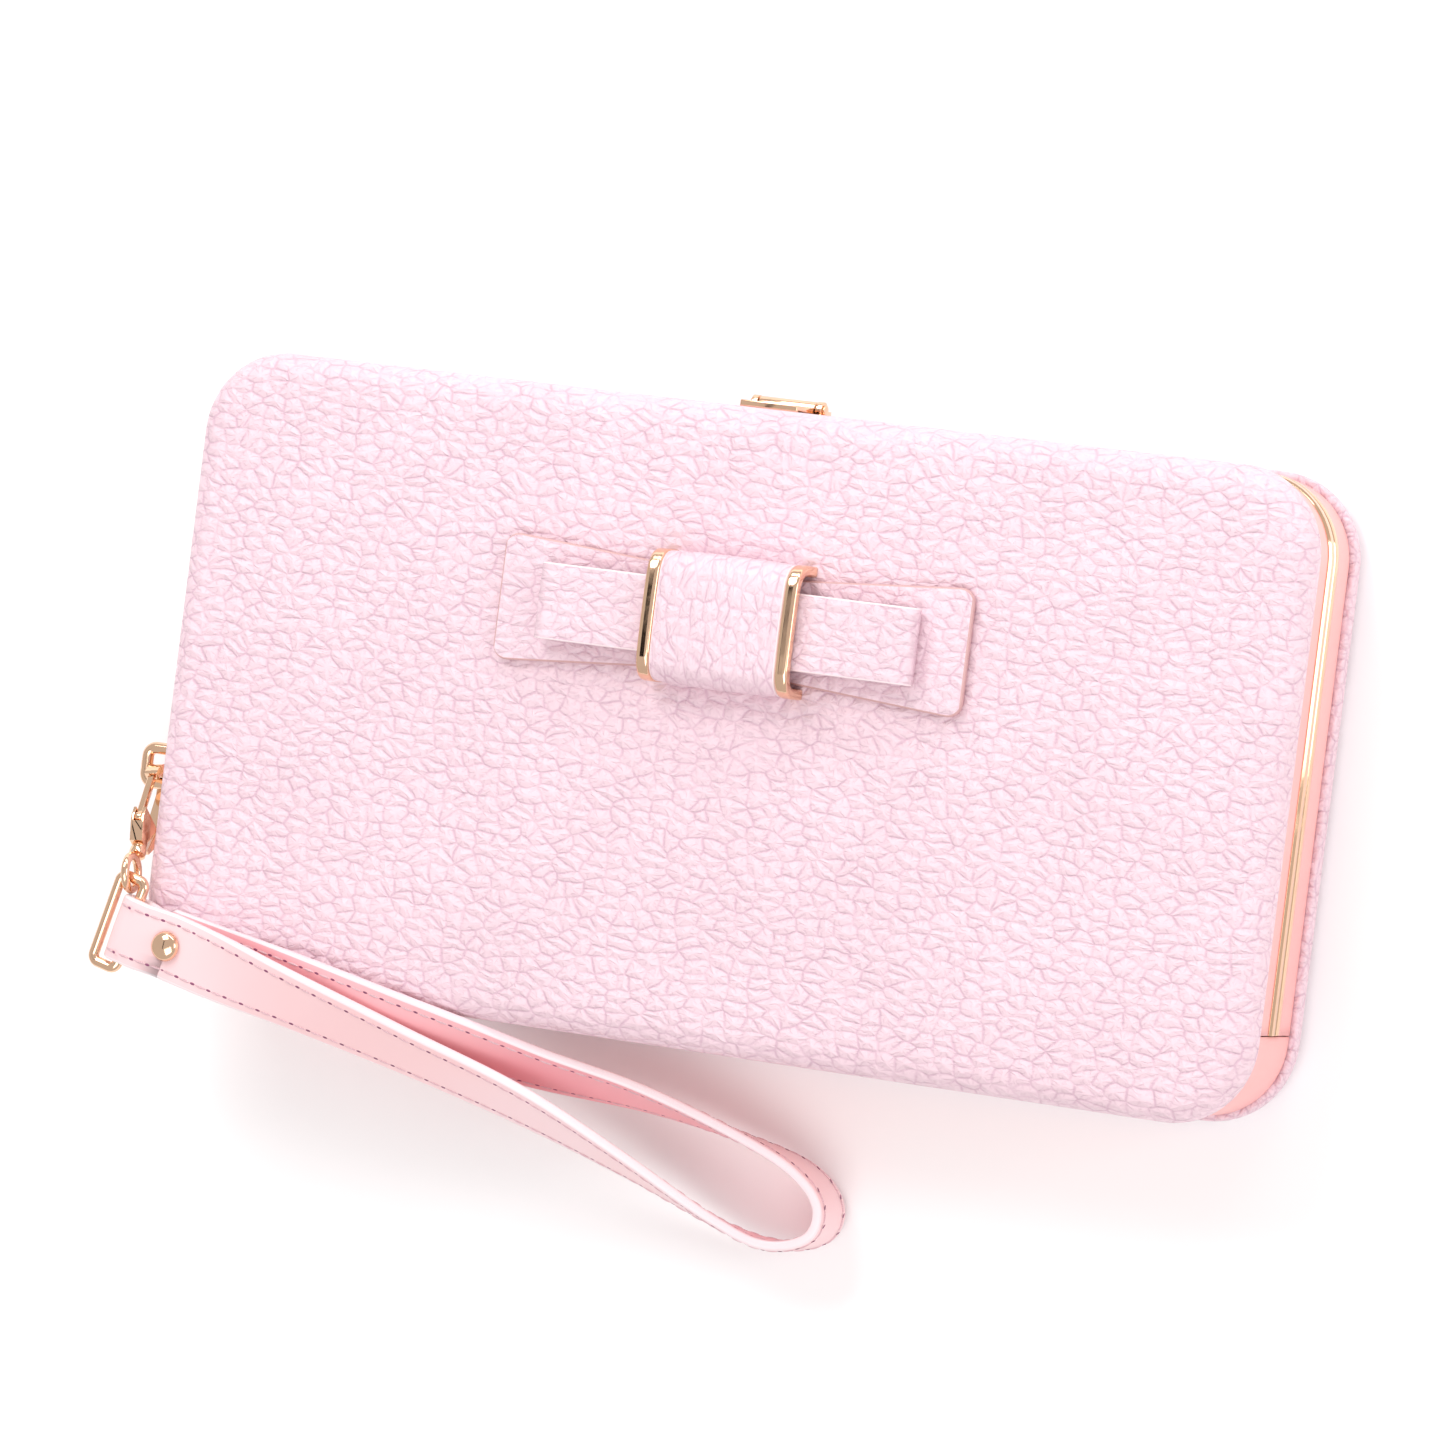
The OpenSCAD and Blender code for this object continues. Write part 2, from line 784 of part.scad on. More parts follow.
module clasp_hook() {
    color(rose_gold)
        on_clasp() difference() {
            union() {
                translate([0, 0, -clasp_t / 2])
                    linear_extrude(clasp_t) {
                        difference() {
                            translate([hook_u, 0]) circle(hook_r);
                            translate([hook_u, 0]) circle(hook_in);
                            translate([hook_u, -2 * hook_r]) square([2 * hook_r, 4 * hook_r]);
                        }
                        translate([hook_u, -hook_r]) square([body_u - hook_u, hook_t]);
                        polygon([[body_u, -hook_r], [body_u, hook_r], [body_u + 2, hook_r],
                            [body_end, 2], [body_end, -2], [body_u + 2, -hook_r]]);
                    }
                translate([body_end - 1, 0, 0]) rotate([0, 90, 0]) cylinder(r = 1.2, h = 1.4);
            }
            // slot in the body for the gate and its spring
            translate([body_u - 1, 0.6, -0.65]) cube([3.6, hook_r, 1.3]);
            translate([gate_u, gate_v, -clasp_t]) cylinder(r = 0.45, h = 2 * clasp_t);
            translate([body_end - 0.6, 0, 0]) rotate([0, 90, 0]) cylinder(r = 0.65, h = 3);
        }
}

module clasp_gate() {
    color(rose_gold)
        on_clasp() difference() {
            union() {
                translate([gate_u, gate_v, -0.55]) cylinder(r = 0.85, h = 1.1);
                translate([hook_u + 0.15, gate_v - 0.65, -0.55])
                    cube([gate_u - hook_u - 0.15, 1.2, 1.1]);
            }
            translate([gate_u, gate_v, -1]) cylinder(r = 0.45 + pin_fit, h = 2);
        }
}

module gate_pin() {
    color(rose_gold)
        on_clasp() translate([gate_u, gate_v, -clasp_t / 2]) cylinder(r = 0.45, h = clasp_t);
}

module gate_spring() {
    color("silver")
        on_clasp() translate([body_u + 0.2, 0.7, -0.4]) cube([0.4, gate_v - 1.9, 0.8]);
}

module swivel_eye() {
    color(rose_gold)
        on_clasp() {
            translate([body_end - 0.5, 0, 0]) rotate([0, 90, 0]) cylinder(r = 0.6, h = 3.2);
            translate([body_end + 0.5, 0, 0]) rotate([0, 90, 0]) cylinder(r = 1.4, h = 1.2);
            translate([eye_u, 0, 0])
                rotate_extrude() translate([eye_in + eye_wire, 0]) circle(eye_wire, $fn = 24);
        }
}

// ---------- strap ring and strap ----------

strap_turn = -14;
eye = [clasp_x, ring_y, ring_z] + eye_u * [sin(clasp_lean), -cos(clasp_lean) * cos(clasp_tilt),
    cos(clasp_lean) * sin(clasp_tilt)];
ring_half_w = 2.3;
ring_half_l = strap_w / 2 + wire_r + 1.2;
// the eye hangs in the upper short side of the ring
ring_centre = [eye[0] - 0.9, eye[1] - ring_half_l - 0.6, case_t + 3];
// the strap sits towards the foot of the ring and leaves room for the eye
strap_shift = 0.8;
ring_corner = 1.2;
layer_gap = 0.08;
fold_r = wire_r + layer_gap + strap_t / 2;

module strap_ring() {
    long = 2 * (ring_half_l - ring_corner);
    short = 2 * (ring_half_w - ring_corner);
    color(rose_gold)
        translate(ring_centre)
            rotate([0, 0, strap_turn])
                for (a = [0, 180])
                    rotate([0, 0, a]) {
                        translate([ring_half_w, -long / 2, 0])
                            rotate([-90, 0, 0]) cylinder(r = wire_r, h = long);
                        translate([-short / 2, ring_half_l, 0])
                            rotate([0, 90, 0]) cylinder(r = wire_r, h = short);
                        translate([short / 2, long / 2, 0])
                            rotate_extrude(angle = 90) translate([ring_corner, 0]) circle(wire_r);
                        translate([-short / 2, long / 2, 0])
                            rotate([0, 0, 90])
                                rotate_extrude(angle = 90) translate([ring_corner, 0]) circle(wire_r);
                    }
}

// middle of the bar that the strap folds round, and the directions along and across the strap there
along = [cos(strap_turn), sin(strap_turn), 0];
across = [-sin(strap_turn), cos(strap_turn), 0];
bar = ring_centre + ring_half_w * along - strap_shift * across;
layer = strap_t + layer_gap;
low_layer = case_t + 0.3 + strap_t / 2;

lying = strap_w / 2 + 0.9;
fall = low_layer - lying;

// route of the strap's middle line from the strap ring: x, y, z and the rise of its upper edge in degrees
route = [for (r = [
    [10.4, -2.8, low_layer + 2 * layer, 0], [15.4, -4.1, low_layer + 2 * layer, 2],
    [30.9, -8, low_layer + 2.7, 28], [50.9, -14, low_layer - 2.6, 45],
    [70.4, -20.5, low_layer - 9.1, 53], [87.4, -28, lying + 0.313 * fall, 66],
    [103.4, -35.5, lying + 0.092 * fall, 78], [112.9, -37.8, lying + 0.4, 88], [120.4, -35.5, lying, 90],
    [121.4, -30, lying, 90], [115.9, -24.8, lying + 0.4, 90], [104.4, -20.8, lying + 0.106 * fall, 80],
    [89.4, -17, lying + 0.29 * fall, 67], [72.4, -14.3, low_layer - 10.1, 52],
    [52.4, -10.1, low_layer - 2, 32], [32.4, -6.3, low_layer + 0.7, 14],
    [18.4, -4.1, low_layer, 0], [8, -2.1, low_layer, 0]])
    [ring_centre[0] + r[0], ring_centre[1] + r[1], r[2], r[3]]];

steps = 5;

function blend4(a, b, c, d, t) =
    0.5 * (2 * b + (c - a) * t + (2 * a - 5 * b + 4 * c - d) * t * t
        + (3 * b - a - 3 * c + d) * t * t * t);

function unit(v) = v / norm(v);

function raised(a) = across * cos(a) + [0, 0, 1] * sin(a);

// rows of [middle, edge direction]: under layer, fold, then the two legs along the route
last = len(route) - 1;
leg_rows = [for (i = [0 : last - 1], j = [0 : steps - 1])
    let (r = blend4(route[max(i - 1, 0)], route[i], route[i + 1], route[min(i + 2, last)], j / steps))
    [[r[0], r[1], r[2]], raised(r[3])]];
tail_rows = [[[route[last][0], route[last][1], route[last][2]], raised(route[last][3])]];
under_z = low_layer + layer;
fold_rows = concat(
    [for (d = [12, 9, 5.5]) [bar + along * d + [0, 0, under_z - bar[2]], across]],
    [[bar + along * 1.5 - [0, 0, fold_r], across]],
    [for (a = [-90 : 22.5 : 90])
        [bar - along * (fold_r * cos(a)) + [0, 0, fold_r * sin(a)], across]],
    [[bar + along * 3 + [0, 0, fold_r], across]]);
rows = concat(fold_rows, leg_rows, tail_rows);
count = len(rows);

function row_tangent(i) = unit(rows[min(i + 1, count - 1)][0] - rows[max(i - 1, 0)][0]);

function row_corners(i) =
    let (t = row_tangent(i), w0 = rows[i][1], w = unit(w0 - t * (t * w0)), n = cross(t, w),
        a = w * strap_w / 2, b = n * strap_t / 2, p = rows[i][0])
    [p + a + b, p - a + b, p - a - b, p + a - b];

module strap_band() {
    points = [for (i = [0 : count - 1]) each row_corners(i)];
    sides = [for (i = [0 : count - 2], k = [0 : 3])
        [4 * i + k, 4 * (i + 1) + k, 4 * (i + 1) + (k + 1) % 4, 4 * i + (k + 1) % 4]];
    triangles = [for (f = sides) each [[f[0], f[1], f[2]], [f[0], f[2], f[3]]]];
    e = 4 * (count - 1);
    polyhedron(points, concat([[0, 1, 2], [0, 2, 3]], triangles, [[e + 2, e + 1, e], [e + 3, e + 2, e]]));
}

rivet_at = [route[0][0], route[0][1], 0];
strap_rivet_r = 1.2;

module strap_loop() {
    color(pink_leather)
        difference() {
            strap_band();
            translate(rivet_at) cylinder(r = strap_rivet_r + 0.02, h = 2 * case_t);
        }
}

module strap_rivet() {
    top = low_layer + 2.5 * layer + 0.25;
    color(rose_gold)
        translate(rivet_at) {
            translate([0, 0, case_t + 0.05]) cylinder(r = strap_rivet_r + 0.8, h = 0.2);
            translate([0, 0, case_t + 0.05]) cylinder(r = strap_rivet_r, h = top - case_t);
            translate([0, 0, top])
                intersection() {
                    translate([0, 0, -dome_r * 0.5]) sphere(dome_r * 1.15);
                    cylinder(r = dome_r * 0.96, h = dome_r);
                }
        }
}

rear_leather();
rear_board();
rear_band();
rear_frame();
rear_lining();
spine_leather();
spine_lining();
gusset_left();
gusset_right();
hinge_pins();
latch_bracket();
latch_pin();
phone_pocket_welt();
phone_pocket_panel();
front_leather();
front_board();
front_band();
front_frame();
front_lining();
card_slot_1();
card_slot_2();
card_slot_3();
card_slot_4();
slip_pocket();
bow_tails();
bow_loop();
bow_knot_sleeve();
bow_knot_leather();
bow_rivets();
strike_plate();
side_ring_plate();
side_ring();
side_ring_rivets();
coin_pouch();
zip_tapes();
zip_teeth();
zip_stops();
zip_slider();
zip_pull();
latch_flap();
clasp_hook();
clasp_gate();
gate_pin();
gate_spring();
swivel_eye();
strap_ring();
strap_loop();
strap_rivet();
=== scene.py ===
import math

import bmesh
import bpy
import numpy as np
from mathutils import Matrix, Vector


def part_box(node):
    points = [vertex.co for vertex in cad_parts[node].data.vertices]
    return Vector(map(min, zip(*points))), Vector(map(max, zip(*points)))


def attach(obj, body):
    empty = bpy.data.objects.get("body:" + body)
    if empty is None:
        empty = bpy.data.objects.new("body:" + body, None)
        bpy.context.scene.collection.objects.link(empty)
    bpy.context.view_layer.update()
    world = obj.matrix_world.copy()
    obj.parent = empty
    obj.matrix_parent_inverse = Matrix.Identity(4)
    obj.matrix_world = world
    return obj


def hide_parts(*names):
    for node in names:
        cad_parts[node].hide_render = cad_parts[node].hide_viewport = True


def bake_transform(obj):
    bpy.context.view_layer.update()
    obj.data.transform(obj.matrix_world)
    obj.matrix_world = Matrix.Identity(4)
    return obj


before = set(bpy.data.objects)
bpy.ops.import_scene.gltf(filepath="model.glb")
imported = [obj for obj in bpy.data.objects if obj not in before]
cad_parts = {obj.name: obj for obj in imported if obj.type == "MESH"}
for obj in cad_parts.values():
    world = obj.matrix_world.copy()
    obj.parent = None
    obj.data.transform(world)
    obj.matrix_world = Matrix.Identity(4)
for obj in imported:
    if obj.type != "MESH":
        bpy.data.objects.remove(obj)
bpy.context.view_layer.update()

mm = 0.001
scene = bpy.context.scene

# sizes that everything else is worked out from, all read from the frame
lowBox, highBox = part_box("rear_leather"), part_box("front_leather")
halfX, halfY = highBox[1].x, highBox[1].y
faceZ = highBox[1].z                 # outer surface of the front half
midZ = faceZ / 2                     # where the halves part
rimZ = lowBox[1].z                   # top edge of the rear leather
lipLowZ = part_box("rear_frame")[0].z
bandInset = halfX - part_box("rear_band")[1].x
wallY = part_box("rear_band")[0].y     # walls start here, clear of the hinge
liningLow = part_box("rear_lining")[0]
pocketLow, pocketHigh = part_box("coin_pouch")


# camera, light and floor

cameraSetup = {
    "target": (-0.001, 0.001, 0.02),
    "distance": 1.291,
    "lean": 22.9,      # degrees to the right of straight above
    "rise": -0.98,     # degrees towards the opening edge
    "roll": 7.16,
    "lens": 199.3,
}

lightSetup = {
    "sky": 0.64,
    "key": {"place": (-0.3, 0.6, 0.7), "size": (0.45, 0.4), "power": 3.3},
    "fill": {"place": (0.25, -0.6, 1.3), "size": (1.0, 0.9), "power": 7},
    "strip": {"place": (0.05, 0.5, 0.22), "size": (0.6, 0.12), "power": 0.9},
    "side": {"place": (1.0, 0.15, 0.4), "size": (0.5, 0.5), "power": 2.4},
    "flag": {"place": (-0.33, 0.03, 0.80), "size": (0.5, 0.05)},   # seen only in polished metal
}


def aimedMatrix(place, target):
    back = (Vector(place) - Vector(target)).normalized()
    return Matrix.Translation(place) @ back.to_track_quat("Z", "Y").to_matrix().to_4x4()


def buildCamera():
    turn = (Matrix.Rotation(math.radians(cameraSetup["lean"]), 4, "Y")
            @ Matrix.Rotation(math.radians(cameraSetup["rise"]), 4, "X")
            @ Matrix.Rotation(math.radians(cameraSetup["roll"]), 4, "Z"))
    place = Vector(cameraSetup["target"]) + turn @ Vector((0, 0, cameraSetup["distance"]))
    data = bpy.data.cameras.new("camera")
    data.lens, data.sensor_width = cameraSetup["lens"], 36
    data.clip_end = 20
    camera = bpy.data.objects.new("camera", data)
    scene.collection.objects.link(camera)
    camera.matrix_world = Matrix.Translation(place) @ turn
    scene.camera = camera


def flatCard(name, halfWidth, halfHeight, material):
    mesh = bpy.data.meshes.new(name)
    mesh.from_pydata([(-halfWidth, -halfHeight, 0), (halfWidth, -halfHeight, 0), (halfWidth, halfHeight, 0),
                      (-halfWidth, halfHeight, 0)], [], [(0, 1, 2, 3)])
    mesh.materials.append(material)
    card = bpy.data.objects.new(name, mesh)
    scene.collection.objects.link(card)
    return card


def buildLights():
    world = bpy.data.worlds.new("studio")
    scene.world = world
    world.use_nodes = True
    world.node_tree.nodes["Background"].inputs["Color"].default_value = (1, 0.985, 0.985, 1)
    world.node_tree.nodes["Background"].inputs["Strength"].default_value = lightSetup["sky"]
    for name in ("key", "fill", "strip", "side"):
        setup = lightSetup[name]
        data = bpy.data.lights.new(name, "AREA")
        data.shape = "RECTANGLE"
        data.size, data.size_y = setup["size"]
        data.energy = setup["power"]
        light = bpy.data.objects.new(name, data)
        scene.collection.objects.link(light)
        light.matrix_world = aimedMatrix(setup["place"], (0, 0, 0.02))
    setup = lightSetup["flag"]
    flagCloth = newMaterial("flagCloth", (0.01, 0.008, 0.008), Roughness=1.0, Specular_IOR_Level=0.0)[0]
    flag = flatCard("flag", *(side / 2 for side in setup["size"]), flagCloth)
    flag.matrix_world = aimedMatrix(setup["place"], (0, 0, 0.03))
    flag.visible_camera = flag.visible_diffuse = flag.visible_shadow = False
    scene.view_settings.view_transform = "Standard"


def addNode(tree, kind, inputs=None, **settings):
    node = tree.nodes.new(kind)
    for key, value in settings.items():
        setattr(node, key, value)
    for key, value in (inputs or {}).items():
        if isinstance(value, bpy.types.NodeSocket):
            tree.links.new(value, node.inputs[key])
        else:
            node.inputs[key].default_value = value
    return node


def newMaterial(name, color=(0.8, 0.8, 0.8), **sockets):
    material = bpy.data.materials.new(name)
    material.use_nodes = True
    tree = material.node_tree
    shader = tree.nodes["Principled BSDF"]
    shader.inputs["Base Color"].default_value = (*color, 1)
    for key, value in sockets.items():
        shader.inputs[key.replace("_", " ")].default_value = value
    return material, tree, shader


def buildFloor():
    material, tree, shader = newMaterial("paperFloor", (0.97, 0.97, 0.97), Roughness=0.9)
    place = addNode(tree, "ShaderNodeTexCoord").outputs["Object"]
    fibre = addNode(tree, "ShaderNodeTexNoise", {"Vector": place, "Scale": 300.0, "Detail": 3.0})
    bump = addNode(tree, "ShaderNodeBump", {"Height": fibre.outputs["Fac"], "Strength": 0.05,
                                            "Distance": 0.0002})
    tree.links.new(bump.outputs["Normal"], shader.inputs["Normal"])
    halfFloor = 6
    floor = flatCard("floor", halfFloor, halfFloor, material)
    floor.location.z = -0.0002          # just clear of what stands on it


buildCamera()
buildLights()
buildFloor()
print("camera, light and floor are in")


# finishes

def newGroup(name, inputs, outputs):
    group = bpy.data.node_groups.new(name, "ShaderNodeTree")
    for socketName, kind, value in inputs:
        socket = group.interface.new_socket(socketName, in_out="INPUT", socket_type=kind)
        if value is not None:
            socket.default_value = value
    for socketName, kind in outputs:
        group.interface.new_socket(socketName, in_out="OUTPUT", socket_type=kind)
    return group, group.nodes.new("NodeGroupInput").outputs, group.nodes.new("NodeGroupOutput").inputs


def mathNode(tree, operation, a, b=0.0, c=0.0):
    return addNode(tree, "ShaderNodeMath", {0: a, 1: b, 2: c}, operation=operation).outputs[0]


def rampNode(tree, value, low, high, outLow=0.0, outHigh=1.0):
    node = addNode(tree, "ShaderNodeMapRange", {"Value": value, "From Min": low, "From Max": high,
                                                "To Min": outLow, "To Max": outHigh})
    node.interpolation_type = "SMOOTHSTEP"
    return node.outputs["Result"]


# pebbled leather: large cells with smaller wrinkles inside them, in millimetres of the surface
def buildGrainGroup():
    group, given, out = newGroup(
        "litchiGrain",
        [("Vector", "NodeSocketVector", None), ("Cell", "NodeSocketFloat", 3.0),
         ("Stretch", "NodeSocketFloat", 0.7), ("Wrinkle", "NodeSocketFloat", 0.35)],
        [("Height", "NodeSocketFloat"), ("Crease", "NodeSocketFloat"), ("Mottle", "NodeSocketFloat")])
    scaled = addNode(group, "ShaderNodeVectorMath", {0: given["Vector"], 1: (1000, 1000, 1000)},
                     operation="MULTIPLY").outputs[0]
    drift = addNode(group, "ShaderNodeTexNoise", {"Vector": scaled, "Scale": 0.16, "Detail": 2.0})
    drift = addNode(group, "ShaderNodeVectorMath", {0: drift.outputs["Color"], 1: (0.5, 0.5, 0.5)},
                    operation="SUBTRACT").outputs[0]
    drift = addNode(group, "ShaderNodeVectorMath", {0: drift, 1: (2.6, 2.4, 0.0)},
                    operation="MULTIPLY").outputs[0]
    place = addNode(group, "ShaderNodeVectorMath", {0: scaled, 1: drift}, operation="ADD").outputs[0]
    wide = addNode(group, "ShaderNodeCombineXYZ", {0: given["Stretch"], 1: 1.0, 2: 1.0}).outputs[0]
    place = addNode(group, "ShaderNodeVectorMath", {0: place, 1: wide}, operation="MULTIPLY").outputs[0]
    perMm = mathNode(group, "DIVIDE", 1.0, given["Cell"])
    grid = {"Vector": place, "Scale": perMm, "Randomness": 0.82}
    cells = addNode(group, "ShaderNodeTexVoronoi", grid, voronoi_dimensions="2D",
                    feature="DISTANCE_TO_EDGE").outputs["Distance"]
    nearest = addNode(group, "ShaderNodeTexVoronoi", grid, voronoi_dimensions="2D", feature="F1").outputs
    depth = addNode(group, "ShaderNodeTexNoise", {"Vector": place, "Scale": 0.34, "Detail": 3.0})
    depth = rampNode(group, depth.outputs["Fac"], 0.38, 0.62, 0.4, 1.0)
    pores = addNode(group, "ShaderNodeTexNoise", {"Vector": place, "Scale": 5.0, "Detail": 2.0})
    # pleats that run out from the middle of each pebble
    arm = addNode(group, "ShaderNodeVectorMath", {0: place, 1: nearest["Position"]},
                  operation="SUBTRACT").outputs[0]
    arm = addNode(group, "ShaderNodeSeparateXYZ", {0: arm}).outputs
    angle = mathNode(group, "ARCTAN2", arm[1], arm[0])
    sway = addNode(group, "ShaderNodeTexNoise", {"Vector": place, "Scale": 1.1, "Detail": 2.0})
    turns = mathNode(group, "MULTIPLY_ADD", sway.outputs["Fac"], 9.0, mathNode(group, "MULTIPLY", angle, 6.0))
    pleats = rampNode(group, mathNode(group, "SINE", turns), -1.0, -0.2, 1.0, 0.0)
    wrinkled = mathNode(group, "MULTIPLY", mathNode(group, "MULTIPLY", pleats, given["Wrinkle"]),
                        rampNode(group, nearest["Distance"], 0.05, 0.4))
    dome = rampNode(group, cells, 0.0, 0.55)
    crease = mathNode(group, "MULTIPLY", rampNode(group, cells, 0.0, 0.13, 1.0, 0.0), depth)
    height = mathNode(group, "MULTIPLY", dome, 0.75)
    height = mathNode(group, "SUBTRACT", height, mathNode(group, "MULTIPLY", crease, 0.25))
    height = mathNode(group, "SUBTRACT", height, mathNode(group, "MULTIPLY", wrinkled, 0.5))
    height = mathNode(group, "MULTIPLY_ADD", pores.outputs["Fac"], 0.12, height)
    group.links.new(height, out["Height"])
    group.links.new(mathNode(group, "MAXIMUM", crease, mathNode(group, "MULTIPLY", wrinkled, 0.8)),
                    out["Crease"])
    group.links.new(rampNode(group, addNode(group, "ShaderNodeTexNoise", {
        "Vector": scaled, "Scale": 0.045, "Detail": 4.0}).outputs["Fac"], 0.3, 0.7), out["Mottle"])
    return group


# fine even grain with a few soft flow lines, for smooth leather
def buildSatinGroup():
    group, given, out = newGroup(
        "satinGrain", [("Vector", "NodeSocketVector", None), ("Fineness", "NodeSocketFloat", 2600.0)],
        [("Height", "NodeSocketFloat"), ("Mottle", "NodeSocketFloat")])
    fine = addNode(group, "ShaderNodeTexVoronoi", {"Vector": given["Vector"], "Scale": given["Fineness"]},
                   feature="SMOOTH_F1").outputs["Distance"]
    soft = addNode(group, "ShaderNodeTexNoise", {"Vector": given["Vector"], "Scale": 160.0, "Detail": 5.0})
    broad = addNode(group, "ShaderNodeTexNoise", {"Vector": given["Vector"], "Scale": 28.0, "Detail": 3.0})
    height = mathNode(group, "MULTIPLY_ADD", fine, 0.25, soft.outputs["Fac"])
    group.links.new(height, out["Height"])
    group.links.new(rampNode(group, broad.outputs["Fac"], 0.3, 0.7), out["Mottle"])
    return group


# woven cloth: crossing threads with slubs; Shade darkens the threads where they sink, painted shade between
# them
def buildWeaveGroup():
    group, given, out = newGroup(
        "clothWeave", [("Vector", "NodeSocketVector", None), ("Thread", "NodeSocketFloat", 0.45),
                       ("Slant", "NodeSocketFloat", 1.0)],
        [("Height", "NodeSocketFloat"), ("Shade", "NodeSocketFloat"), ("Mottle", "NodeSocketFloat")])
    parts = addNode(group, "ShaderNodeSeparateXYZ", {0: given["Vector"]}).outputs
    turn = mathNode(group, "DIVIDE", 1000 * 2 * math.pi, given["Thread"])
    across = mathNode(group, "ADD", parts[0], parts[2])
    up = mathNode(group, "MULTIPLY_ADD", across, given["Slant"], parts[1])
    warp = mathNode(group, "SINE", mathNode(group, "MULTIPLY", across, turn))
    twill = mathNode(group, "SINE", mathNode(group, "MULTIPLY", up, mathNode(group, "MULTIPLY", turn, 0.5)))
    slub = addNode(group, "ShaderNodeTexNoise", {"Vector": given["Vector"], "Scale": 900.0, "Detail": 3.0})
    broad = addNode(group, "ShaderNodeTexNoise", {"Vector": given["Vector"], "Scale": 35.0, "Detail": 2.0})
    height = mathNode(group, "MULTIPLY_ADD", warp, 0.3, mathNode(group, "MULTIPLY", twill, 0.5))
    height = mathNode(group, "MULTIPLY_ADD", slub.outputs["Fac"], 0.7, height)
    group.links.new(height, out["Height"])
    group.links.new(rampNode(group, height, -0.4, 1.1), out["Shade"])
    group.links.new(rampNode(group, broad.outputs["Fac"], 0.3, 0.7), out["Mottle"])
    return group


# handling marks on plated metal
def buildPlatingGroup():
    group, given, out = newGroup("platingMarks", [("Vector", "NodeSocketVector", None)],
                                 [("Height", "NodeSocketFloat"), ("Haze", "NodeSocketFloat")])
    haze = addNode(group, "ShaderNodeTexNoise", {"Vector": given["Vector"], "Scale": 220.0, "Detail": 4.0})
    scuff = addNode(group, "ShaderNodeTexNoise", {"Vector": given["Vector"], "Scale": 1800.0, "Detail": 2.0})
    group.links.new(mathNode(group, "MULTIPLY_ADD", scuff.outputs["Fac"], 0.3, haze.outputs["Fac"]),
                    out["Height"])
    group.links.new(rampNode(group, haze.outputs["Fac"], 0.35, 0.7), out["Haze"])
    return group


grainGroup = buildGrainGroup()
satinGroup = buildSatinGroup()
weaveGroup = buildWeaveGroup()
platingGroup = buildPlatingGroup()


def placeGroup(tree, group, vector, **inputs):
    node = addNode(tree, "ShaderNodeGroup", node_tree=group)
    tree.links.new(vector, node.inputs["Vector"])
    for key, value in inputs.items():
        node.inputs[key].default_value = value
    return node.outputs


def mixColors(tree, factor, first, second):
    node = addNode(tree, "ShaderNodeMix", data_type="RGBA")
    tree.links.new(factor, node.inputs[0])
    for index, value in ((6, first), (7, second)):
        if isinstance(value, bpy.types.NodeSocket):
            tree.links.new(value, node.inputs[index])
        else:
            node.inputs[index].default_value = (*value, 1)
    return node.outputs[2]


def bumpInto(tree, shader, height, strength, distance):
    bump = addNode(tree, "ShaderNodeBump", {"Height": height, "Strength": strength, "Distance": distance})
    tree.links.new(bump.outputs["Normal"], shader.inputs["Normal"])


def litchiLeather(name, base, deepToneAndShade, cell=2.15, stretch=0.64, relief=0.00036):
    material, tree, shader = newMaterial(name, base, Specular_IOR_Level=0.42, Coat_Weight=0.06,
                                         Coat_Roughness=0.35, Sheen_Weight=0.06)
    uv = addNode(tree, "ShaderNodeUVMap", uv_map="skin").outputs["UV"]
    grain = placeGroup(tree, grainGroup, uv, Cell=cell, Stretch=stretch)
    pale = tuple(min(1, c * 1.03 + 0.012) for c in base)
    color = mixColors(tree, grain["Mottle"], base, pale)
    # the crease mask darkens the colour towards the second colour: painted shade in the creases and wrinkles
    tree.links.new(mixColors(tree, mathNode(tree, "MULTIPLY", grain["Crease"], 0.5), color, deepToneAndShade),
                   shader.inputs["Base Color"])
    tree.links.new(rampNode(tree, grain["Crease"], 0.0, 1.0, 0.44, 0.68), shader.inputs["Roughness"])
    bumpInto(tree, shader, grain["Height"], 1.0, relief)
    return material


def satinLeather(name, base, deepToneAndShade, roughness=0.38, fineness=2600.0, relief=0.00003):
    material, tree, shader = newMaterial(name, base, Specular_IOR_Level=0.45, Coat_Weight=0.1,
                                         Coat_Roughness=0.3)
    place = addNode(tree, "ShaderNodeTexCoord").outputs["Object"]
    grain = placeGroup(tree, satinGroup, place, Fineness=fineness)
    tree.links.new(mixColors(tree, grain["Mottle"], base, deepToneAndShade), shader.inputs["Base Color"])
    tree.links.new(rampNode(tree, grain["Height"], 0.3, 0.9, roughness - 0.05, roughness + 0.08),
                   shader.inputs["Roughness"])
    bumpInto(tree, shader, grain["Height"], 0.6, relief)
    return material


def wovenCloth(name, base, deepToneAndShade, thread=0.45, slant=1.0, relief=0.00009, sheen=0.25):
    material, tree, shader = newMaterial(name, base, Roughness=0.8, Sheen_Weight=sheen,
                                         Specular_IOR_Level=0.25)
    place = addNode(tree, "ShaderNodeTexCoord").outputs["Object"]
    weave = placeGroup(tree, weaveGroup, place, Thread=thread, Slant=slant)
    worn = mixColors(tree, weave["Mottle"], base, tuple(c * 0.95 for c in base))
    # threads darken towards the second colour where they sink: painted shade between the threads
    tree.links.new(mixColors(tree, weave["Shade"], deepToneAndShade, worn), shader.inputs["Base Color"])
    tree.links.new(rampNode(tree, weave["Height"], -0.4, 1.1, 0.92, 0.7), shader.inputs["Roughness"])
    bumpInto(tree, shader, weave["Height"], 0.7, relief)
    return material


